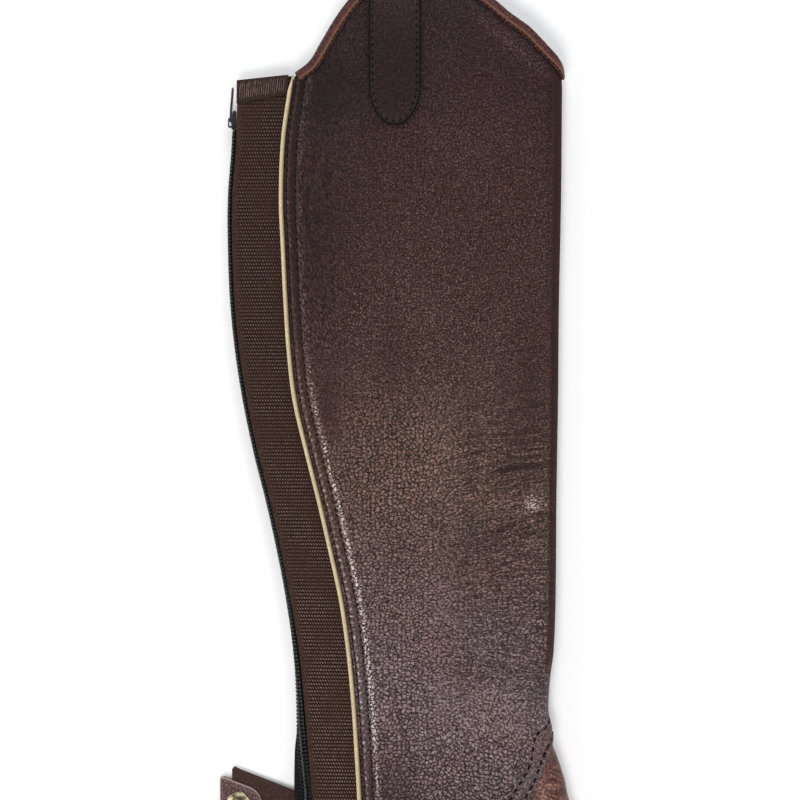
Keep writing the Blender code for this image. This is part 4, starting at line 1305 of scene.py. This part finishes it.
def zip_chain():
    """Two rows of interlocking coil turns on a flat core, with beads where they meet."""
    y = np.linspace(CHAIN_BOTTOM, CHAIN_TOP, 182)
    corner, across, facing = zip_frame(y)
    outline = (
        (0.25, -0.35), (5.05, -0.35), (5.05, 0.7), (3.2, 0.95), (2.65, 1.3), (2.1, 0.95), (0.25, 0.7),
    )
    core = tube(corner[:, None] + np.stack([a * across + f * facing for a, f in outline], 1))
    parts, painted_coil_glint = [core], [np.zeros(len(core[0]))]
    places = np.arange(CHAIN_BOTTOM + 0.9, CHAIN_TOP - 0.4, COIL_PITCH / 2)
    sides = 8
    for second, low, high in ((0, 0.0, 3.3), (1, 2.0, CHAIN_WIDTH)):
        at = places[second::2]
        corner, across, facing = zip_frame(at)
        middle = corner + (low + high) / 2 * across + 1.42 * facing
        along = across + np.array((0.0, 0.28 if second else -0.28, 0.0))
        along /= np.linalg.norm(along, axis=1, keepdims=True)
        parts.append(capsules(middle, along, facing, high - low, 0.78, sides, 0.35))
        # Painted glints on one end of each turn in the first row; none on the second row.
        worn_and_painted_glint = np.zeros(7) if second else np.array((1.0, 0.35, 0.0, 0.0, 0.0, 0.0, 0.0))
        painted_coil_glint.append(np.tile(np.repeat(worn_and_painted_glint, sides), len(at)))
        bead = corner + (low + 0.9 if second else high - 0.9) * across + 1.75 * facing
        parts.append(capsules(bead, np.broadcast_to((0.0, 1.0, 0.0), bead.shape), facing, 1.3, 0.62))
        painted_coil_glint.append(np.ones(len(parts[-1][0])))
    points, faces = merge(parts)
    lowest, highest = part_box("zip_chain")
    points = np.clip(points, np.array(lowest) / MM, np.array(highest) / MM)
    values = {"painted_coil_glint": vectors(np.concatenate(painted_coil_glint), 0, 0)}
    return piece("zip_coil", (points, faces), coil_black, "zip_chain", values=values)


def prism(outline, low, high, at):
    """A solid of one (along, out) outline across the zip, its frame taken at one height."""
    corner, across, facing = zip_frame(at)
    return tube([
        [corner + a * across + np.array((0, b, 0)) + out * facing for b, out in outline]
        for a in (low, high)
    ])


def bevelled(obj, width):
    step = obj.modifiers.new("bevel", "BEVEL")
    step.width = width * MM
    step.segments = 2
    step.limit_method = "ANGLE"
    step.angle_limit = math.radians(30)
    step.harden_normals = False
    return obj


def zip_slider():
    start, end = SEAM_GAP, SEAM_GAP + SLIDER_LENGTH
    body = (
        (start, 0.1), (end, 0.1), (end, 1.7), (end - 4.5, SLIDER_THICK),
        (start + 0.8, SLIDER_THICK), (start, SLIDER_THICK - 0.6),
    )
    crown = (
        (1.5, 2.3), (2.5, 2.3), (2.5, 3.85), (5.6, 3.85), (5.6, 2.0),
        (6.6, 2.0), (6.6, 4.0), (5.9, 4.5), (2.2, 4.5), (1.5, 4.0),
    )
    middle = CHAIN_WIDTH / 2
    shape = merge([prism(body, 0.05, 5.6, CHAIN_TOP), prism(crown, middle - 1.0, middle + 1.0, CHAIN_TOP)])
    return bevelled(piece("zip_slider_body", shape, moulded_black, "zip_slider"), 0.22)


def zip_pull():
    """The pull's plate and the open loop round the slider's crown."""
    hinge = HINGE_Y - CHAIN_TOP
    lean = (HINGE_OUT - 1.9) / (PULL_TIP - HINGE_Y)
    middle, half = CHAIN_WIDTH / 2, PULL_WIDTH / 2
    rows = (
        # y from the hinge, half thickness, half width, half width of the opening
        (-0.35, 0.25, half - 0.5, 0.0),
        (-0.05, 0.34, half - 0.1, 0.0),
        (0.35, 0.35, half, half - 0.8),
        (3.0, 0.35, half, half - 0.8),
        (4.2, 0.46, half, half - 0.8),
        (4.5, 0.5, half, 0.0),
        (7.0, 0.5, half, 0.0),
        (12.0, 0.5, half, 0.0),
        (16.4, 0.5, half - 0.05, 0.0),
        (17.5, 0.42, half - 0.5, 0.0),
        (18.0, 0.3, half - 1.1, 0.0),
    )
    corner, across, facing = zip_frame(CHAIN_TOP)
    parts = []
    for side in (-1, 1):
        rings = []
        for b, thick, wide, hole in rows:
            ring = []
            chamfer = wide - 0.2
            for a, f in ((hole, -1), (chamfer, -1), (wide, -0.5), (wide, 0.5), (chamfer, 1), (hole, 1)):
                out = HINGE_OUT - lean * b + f * thick
                place = corner + (middle + side * a) * across + np.array((0, hinge + b, 0)) + out * facing
                ring.append(place)
            rings.append(ring)
        parts.append(tube(rings))
    return piece("zip_pull_tab", merge(parts), moulded_black, "zip_pull", body="pull")


def zip_box():
    outline = ((-0.3, 0.05), (-0.3, 2.2), (-1.0, 2.8), (-8.6, 2.8), (-9.4, 2.0), (-9.4, 0.05))
    obj = piece("zip_box_body", prism(outline, 0.0, CHAIN_WIDTH, CHAIN_BOTTOM), moulded_black, "zip_box")
    return bevelled(obj, 0.35)


def top_band_foot(share):
    return 163.8 + 4.6 * share


def top_band_head(share):
    return 176.0 + 2.8 * share


def bottom_band_head(share):
    return elastic_foot(share) + BOTTOM_BAND_HEIGHT


def band(name, node, low, high, flat):
    """A folded band sewn over one end of the elastic."""
    shares = np.linspace(0, 1, 49)
    y = low(shares) + (high(shares) - low(shares)) * np.linspace(0, 1, 25)[:, None]
    left, right = elastic_x(y) - 0.2, piping_x(y) - PIPING_RADIUS - SEAM_GAP
    x = left + (right - left) * shares
    up = (y - low(shares)) / (high(shares) - low(shares))
    relief = 0.05 * np.sin(2 * np.pi * (x + 0.25 * y) / 2.3) - 0.25 * (2 * np.abs(up - 0.5)) ** 6
    top = UNDER_LEATHER - SEAM_GAP - BAND_THICK
    outer = on_upper(x, y, top - relief)
    shape = shell(outer, thinned(on_upper(x, y, UNDER_LEATHER - SEAM_GAP)), INNER_STEP)
    values = {"cloth": both(vectors(x, y, 0), INNER_STEP)}
    obj = piece(name, shape, band_brown, node, values=values)
    return obj


# Straps and snap.


def strap_under():
    outline = np.array(STRAP_UNDER)
    low, high = UNDER_LEATHER, UNDER_LEATHER + STRAP
    rings = [np.column_stack([outline, np.full(len(outline), z)]) for z in (low, high)]
    points, faces = tube(rings)
    values = {"grain": points, "slant": points, "zone": np.tile((0.1, 0.5, 0.45), (len(points), 1))}
    values["wash"] = np.tile((0.0, 0.0, 0.1), (len(points), 1))
    obj = piece("strap_under_hide", (points, faces), hide_under, "strap_under", values=values)
    bevelled(obj, 0.4)
    return obj


def snap_tab():
    """A tab from the inner side, folded round the strap's end and back over it."""
    run, rise = math.cos(STRAP_LEAN), math.sin(STRAP_LEAN)
    top = 2 * UNDER_LEATHER - SEAM_GAP + STRAP
    radius = top / 2

    def flat(e, f):
        return SNAP_CENTRE[0] + e * run - f * rise, SNAP_CENTRE[1] + e * rise + f * run

    def reach(x, f):
        return (x - SNAP_CENTRE[0] + f * rise) / run

    outer, inner = [], []
    for v in np.linspace(-1, 1, 25):
        front, back = [], []
        for share in np.linspace(0, 1, 13):
            f = v * (SNAP_TAB_HALF - 1.5 * (1 - share))
            e = reach(SNAP_TAB_ROOT + (SNAP_TAB_FOLD + radius - SNAP_TAB_ROOT) * share, f)
            front.append((*flat(e, f), 0.0))
            back.append((*flat(e, f), STRAP))
        start = reach(SNAP_TAB_FOLD + radius, v * SNAP_TAB_HALF)
        x, y = flat(start, v * SNAP_TAB_HALF)
        for turn in np.linspace(0, math.pi, 17)[1:]:
            for points, r in ((front, radius), (back, radius - STRAP)):
                points.append((x - r * math.sin(turn), y, radius - r * math.cos(turn)))
        for lean in np.radians((0, 8, 17, 26, 35, 45, 54, 63, 72, 80, 86)):
            e = 2.5 + SNAP_TAB_HALF * math.sin(lean)
            f = v * SNAP_TAB_HALF * math.cos(lean)
            if lean == 0:
                e = max(e, start + 1.0)
            front.append((*flat(e, f), top))
            back.append((*flat(e, f), top - STRAP))
        outer.append(front)
        inner.append(back)
    outer, inner = np.array(outer), np.array(inner)
    across = np.abs(np.linspace(-1, 1, 25))[:, None]
    run_on = np.arange(outer.shape[1])[None]
    rim = np.maximum(ease((across - 0.9) / 0.08), ease((run_on - (outer.shape[1] - 2.2)) / 1.0))
    worn_and_painted_glint = 0.25 * rim * (run_on > 28)
    outer[..., 2] -= worn_and_painted_glint
    values = {"grain": vectors(outer[..., 0] + outer[..., 2], outer[..., 1], 0)}
    values["slant"] = values["grain"]
    values["zone"] = vectors(0.1, 0.55, np.full(rim.shape, 0.5))
    values["wash"] = vectors(0.0, 0.0, 0.9 * rim)
    values = hide_of({key: grid[:, ::-1] for key, grid in values.items()})
    shape = shell(outer[:, ::-1], inner[:, ::-1])
    obj = piece("snap_tab_hide", shape, hide_strap, "snap_tab", values=values)
    return obj


def snap_cap():
    """A domed cap with a rolled rim and a shallow ring."""
    base = 2 * UNDER_LEATHER + STRAP
    profile = (
        # share of the radius, height
        (0.93, 0.0), (0.985, 0.12), (1.0, 0.35), (0.985, 0.62), (0.94, 0.82), (0.89, 0.88),
        (0.85, 0.82), (0.815, 0.86), (0.77, 1.1), (0.7, 1.42), (0.6, 1.75), (0.46, 2.05),
        (0.3, 2.26), (0.15, 2.36), (0.04, 2.4),
    )
    turn = np.linspace(0, 2 * np.pi, 65)[:-1]
    x, y = SNAP_CENTRE
    rings = [
        vectors(x + SNAP_RADIUS * r * np.cos(turn), y + SNAP_RADIUS * r * np.sin(turn), base + z)
        for r, z in profile
    ]
    return piece("snap_cap_brass", tube(rings), brass, "snap_cap")


# Sewing.


def spaced(path, pitch):
    """Places along a path every pitch, as (centres, tangents)."""
    strides = np.linalg.norm(np.diff(path, axis=0), axis=1)
    reach = np.concatenate([[0], np.cumsum(strides)])

    def place(run):
        return np.stack([np.interp(run, reach, path[:, k]) for k in range(3)], -1)

    at = np.arange(0.5 * pitch, reach[-1] - 0.4 * pitch, pitch)
    tangents = place(at + 0.4) - place(at - 0.4)
    return place(at), tangents / np.linalg.norm(tangents, axis=1, keepdims=True)


def outward(centres, tangents, hint):
    """Normals square to the tangents, nearest to the hint."""
    normals = np.broadcast_to(hint, centres.shape).astype(float)
    normals = normals - (normals * tangents).sum(1, keepdims=True) * tangents
    return normals / np.linalg.norm(normals, axis=1, keepdims=True)


def fold_normals(centres):
    """The way the leather faces, round the front fold too."""
    height, front = smooth(FRONT, 2, centres[:, 1]), fold_x(centres[:, 1])
    past = np.maximum(centres[:, 0] - front, 0) / FOLD_REACH
    up = (centres[:, 2] - height / 2) / (height / 2)
    facing = vectors(past, 0, np.where(past > 0, up, np.sign(up)))
    return facing / np.linalg.norm(facing, axis=1, keepdims=True)


def stitch_row(path, pitch, length, radius, lift, sunk=0.25):
    centres, tangents = spaced(path, pitch)
    normals = outward(centres, tangents, fold_normals(centres))
    centres = centres + lift * normals
    centres[:, 2] = np.maximum(centres[:, 2], radius)
    return capsules(centres, tangents, normals, length, radius, sunk=sunk)


def panel_sewing():
    rows = []
    y = np.linspace(174.5, -229.0, 500)
    for row in SEAM_ROWS:
        along = panel_start(y) + row * seam_lean(y)
        path = skin(along, y, -panel_relief(along, y))
        rows.append(stitch_row(path, SEAM_PITCH, 2.5, 0.62, -0.22))
    for row in LAP_ROWS:
        along = np.linspace(-33.0 + row, FOLD_GIRTH + 33.0 - row, 300)
        padded = np.pad(below(lap, along, -row), LAP_BLUR, "edge")
        window = 2 * LAP_BLUR + 1
        up = np.convolve(padded, np.full(window, 1 / window), "valid")
        keep = np.abs(along - FOLD_MIDDLE) < 46
        path = skin(along, up, -panel_relief(along, up))[keep]
        rows.append(stitch_row(path, LAP_PITCH, 3.3, 0.95, -0.42))
    return piece("panel_stitches", merge(rows), thread_dark)


def binding_sewing():
    start = float(panel_start(BINDING_START_Y)) + 2
    places, rise, length = edge_places(start, FOLD_GIRTH + 146.0, 200, 120)
    path = skin(places + BINDING_ROW * rise / length, top_edge(places) - BINDING_ROW / length, -1.12)
    return piece("binding_stitches", stitch_row(path, BINDING_PITCH, 2.0, 0.36, 0.0, 0.15), thread_dark)


def tab_sewing():
    half = TAB_WIDTH / 2 - TAB_ROW
    lean = np.radians(np.linspace(-90, 90, 90))
    foot_y = TAB_FOOT + TAB_ROW + (TAB_ROUND - 1.5) * (1 - np.cos(lean))
    x = TAB_CENTRE + half * np.sin(lean)
    side = np.linspace(TAB_FOOT + TAB_ROW + TAB_ROUND - 1.5, 226.0, 40)[1:]
    x = np.concatenate([np.full(39, x[0]), x, np.full(39, x[-1])])
    y = np.concatenate([side[::-1], foot_y, side])
    path = on_upper(x, y, -SEAM_GAP - TAB_THICK + 0.2)
    return piece("tab_stitches", stitch_row(path, TAB_PITCH, 1.5, 0.5, 0.0, 0.2), thread_dark)


def band_threads():
    """Uneven zigzag strokes over the band at the top of the elastic."""
    draw = np.random.default_rng(5)
    shares = np.linspace(0.02, 0.985, 22)
    strokes = []
    for k in range(len(shares) - 1):
        low = 164.3 + 4.6 * shares[k] + draw.uniform(0.4, 1.6)
        high = 175.2 + 2.8 * shares[k] - draw.uniform(0.4, 1.4)
        left = elastic_x(BAND_Y) + 0.8
        wide = piping_x(BAND_Y) - PIPING_RADIUS - SEAM_GAP - 0.4 - left
        a = left + wide * (shares[k] + draw.uniform(-0.008, 0.008))
        b = left + wide * (shares[k] + 0.026 + draw.uniform(-0.008, 0.008))
        t = np.linspace(0, 1, 12)
        x, y = a + (b - a) * t, low + (high - low) * t
        path = on_upper(x, y, UNDER_LEATHER - SEAM_GAP - BAND_THICK - 0.12)
        centres, tangents = path[6:7], (path[-1:] - path[:1])
        length = float(np.linalg.norm(tangents))
        tangents = tangents / length
        normals = outward(centres, tangents, np.array((0, 0, 1.0)))
        strokes.append(capsules(centres, tangents, normals, length, 0.26, sunk=0.1))
    return piece("band_zigzag", merge(strokes), thread_brown)


outer_panel()
inner_panel()
instep()
tape("zip_tape_outer_web", "zip_tape_outer", outer_tape_path, TAPE_TOP, TAPE_BOTTOM)
tape("zip_tape_inner_web", "zip_tape_inner", inner_tape_path, INNER_TAPE_TOP, TAPE_BOTTOM)
elastic()
band("elastic_top_band_web", "elastic_top_band", top_band_foot, top_band_head, (0.026, 0.0115))
band("elastic_bottom_band_web", "elastic_bottom_band", elastic_foot, bottom_band_head, (0.023, 0.0104))
piping()
zip_chain()
zip_slider()
zip_pull()
zip_box()
binding()
tab()
strap_under()
snap_tab()
snap_cap()
panel_sewing()
binding_sewing()
tab_sewing()
band_threads()


# Table, light and camera.


def floor():
    """The pale table, just under the part."""
    n = Nodes("pale_table")
    drift = n.noise(n.here(), 3.0, 2.0)
    material = n.done(n.mix(drift, (0.95, 0.95, 0.95), (0.98, 0.98, 0.98)), 0.9, Specular_IOR_Level=0.1)
    mesh = bpy.data.meshes.new("floor")
    half, drop = 12, 0.0002
    corners = [(x, y, -drop) for x, y in ((-half, -half), (half, -half), (half, half), (-half, half))]
    mesh.from_pydata(corners, [], [(0, 1, 2, 3)])
    mesh.materials.append(material)
    obj = bpy.data.objects.new("floor", mesh)
    bpy.context.scene.collection.objects.link(obj)


def aimed(obj, target):
    """Turns a lamp to face a place."""
    direction = np.array(target) - np.array(obj.location)
    yaw = math.atan2(direction[1], direction[0]) - math.pi / 2
    pitch = math.acos(-direction[2] / np.linalg.norm(direction))
    obj.rotation_euler = (pitch, 0, yaw)


LIGHTS = (
    # name, place, size, watts, colour
    ("key", (-0.16, -0.58, 1.18), 0.5, 7.5, (1.0, 0.97, 0.96)),
    ("left", (-1.25, 0.1, 0.62), 0.9, 13.0, (1.0, 1.0, 1.0)),
    ("right", (1.2, -0.3, 0.62), 0.9, 11.0, (0.98, 0.99, 1.0)),
    ("top", (0.1, 1.25, 0.66), 0.9, 12.0, (0.96, 0.98, 1.0)),
)
for name, place, size, watts, colour in LIGHTS:
    light = bpy.data.lights.new(name, "AREA")
    light.size = size
    light.energy = watts
    light.color = colour
    lamp = bpy.data.objects.new(name, light)
    lamp.location = place
    lamp.visible_camera = False
    aimed(lamp, (0.0, 0.0, 0.0))
    bpy.context.scene.collection.objects.link(lamp)

world = bpy.data.worlds.new("studio")
world.use_nodes = True
sky = world.node_tree
direction = sky.nodes.new("ShaderNodeTexCoord")
split = sky.nodes.new("ShaderNodeSeparateXYZ")
height = sky.nodes.new("ShaderNodeMapRange")
for key, value in (("From Min", 0.0), ("From Max", 0.8), ("To Min", 0.8), ("To Max", 0.06)):
    height.inputs[key].default_value = value
sky.links.new(direction.outputs["Generated"], split.inputs[0])
sky.links.new(split.outputs["Z"], height.inputs["Value"])
sky.links.new(height.outputs[0], sky.nodes["Background"].inputs["Strength"])
sky.nodes["Background"].inputs["Color"].default_value = (0.96, 0.98, 1.0, 1.0)
bpy.context.scene.world = world

floor()

camera_data = bpy.data.cameras.new("camera")
camera_data.lens = 100.0
camera_data.sensor_width = 36.0
camera_data.clip_start = 0.05
camera = bpy.data.objects.new("camera", camera_data)
VIEW_WIDTH, VIEW_HEIGHT = 0.424, 0.008
camera.location = (-0.00265, 0.0069, VIEW_HEIGHT + VIEW_WIDTH * camera_data.lens / camera_data.sensor_width)
bpy.context.scene.collection.objects.link(camera)
bpy.context.scene.camera = camera

bpy.context.scene.view_settings.view_transform = "Standard"
bpy.context.scene.view_settings.look = "None"
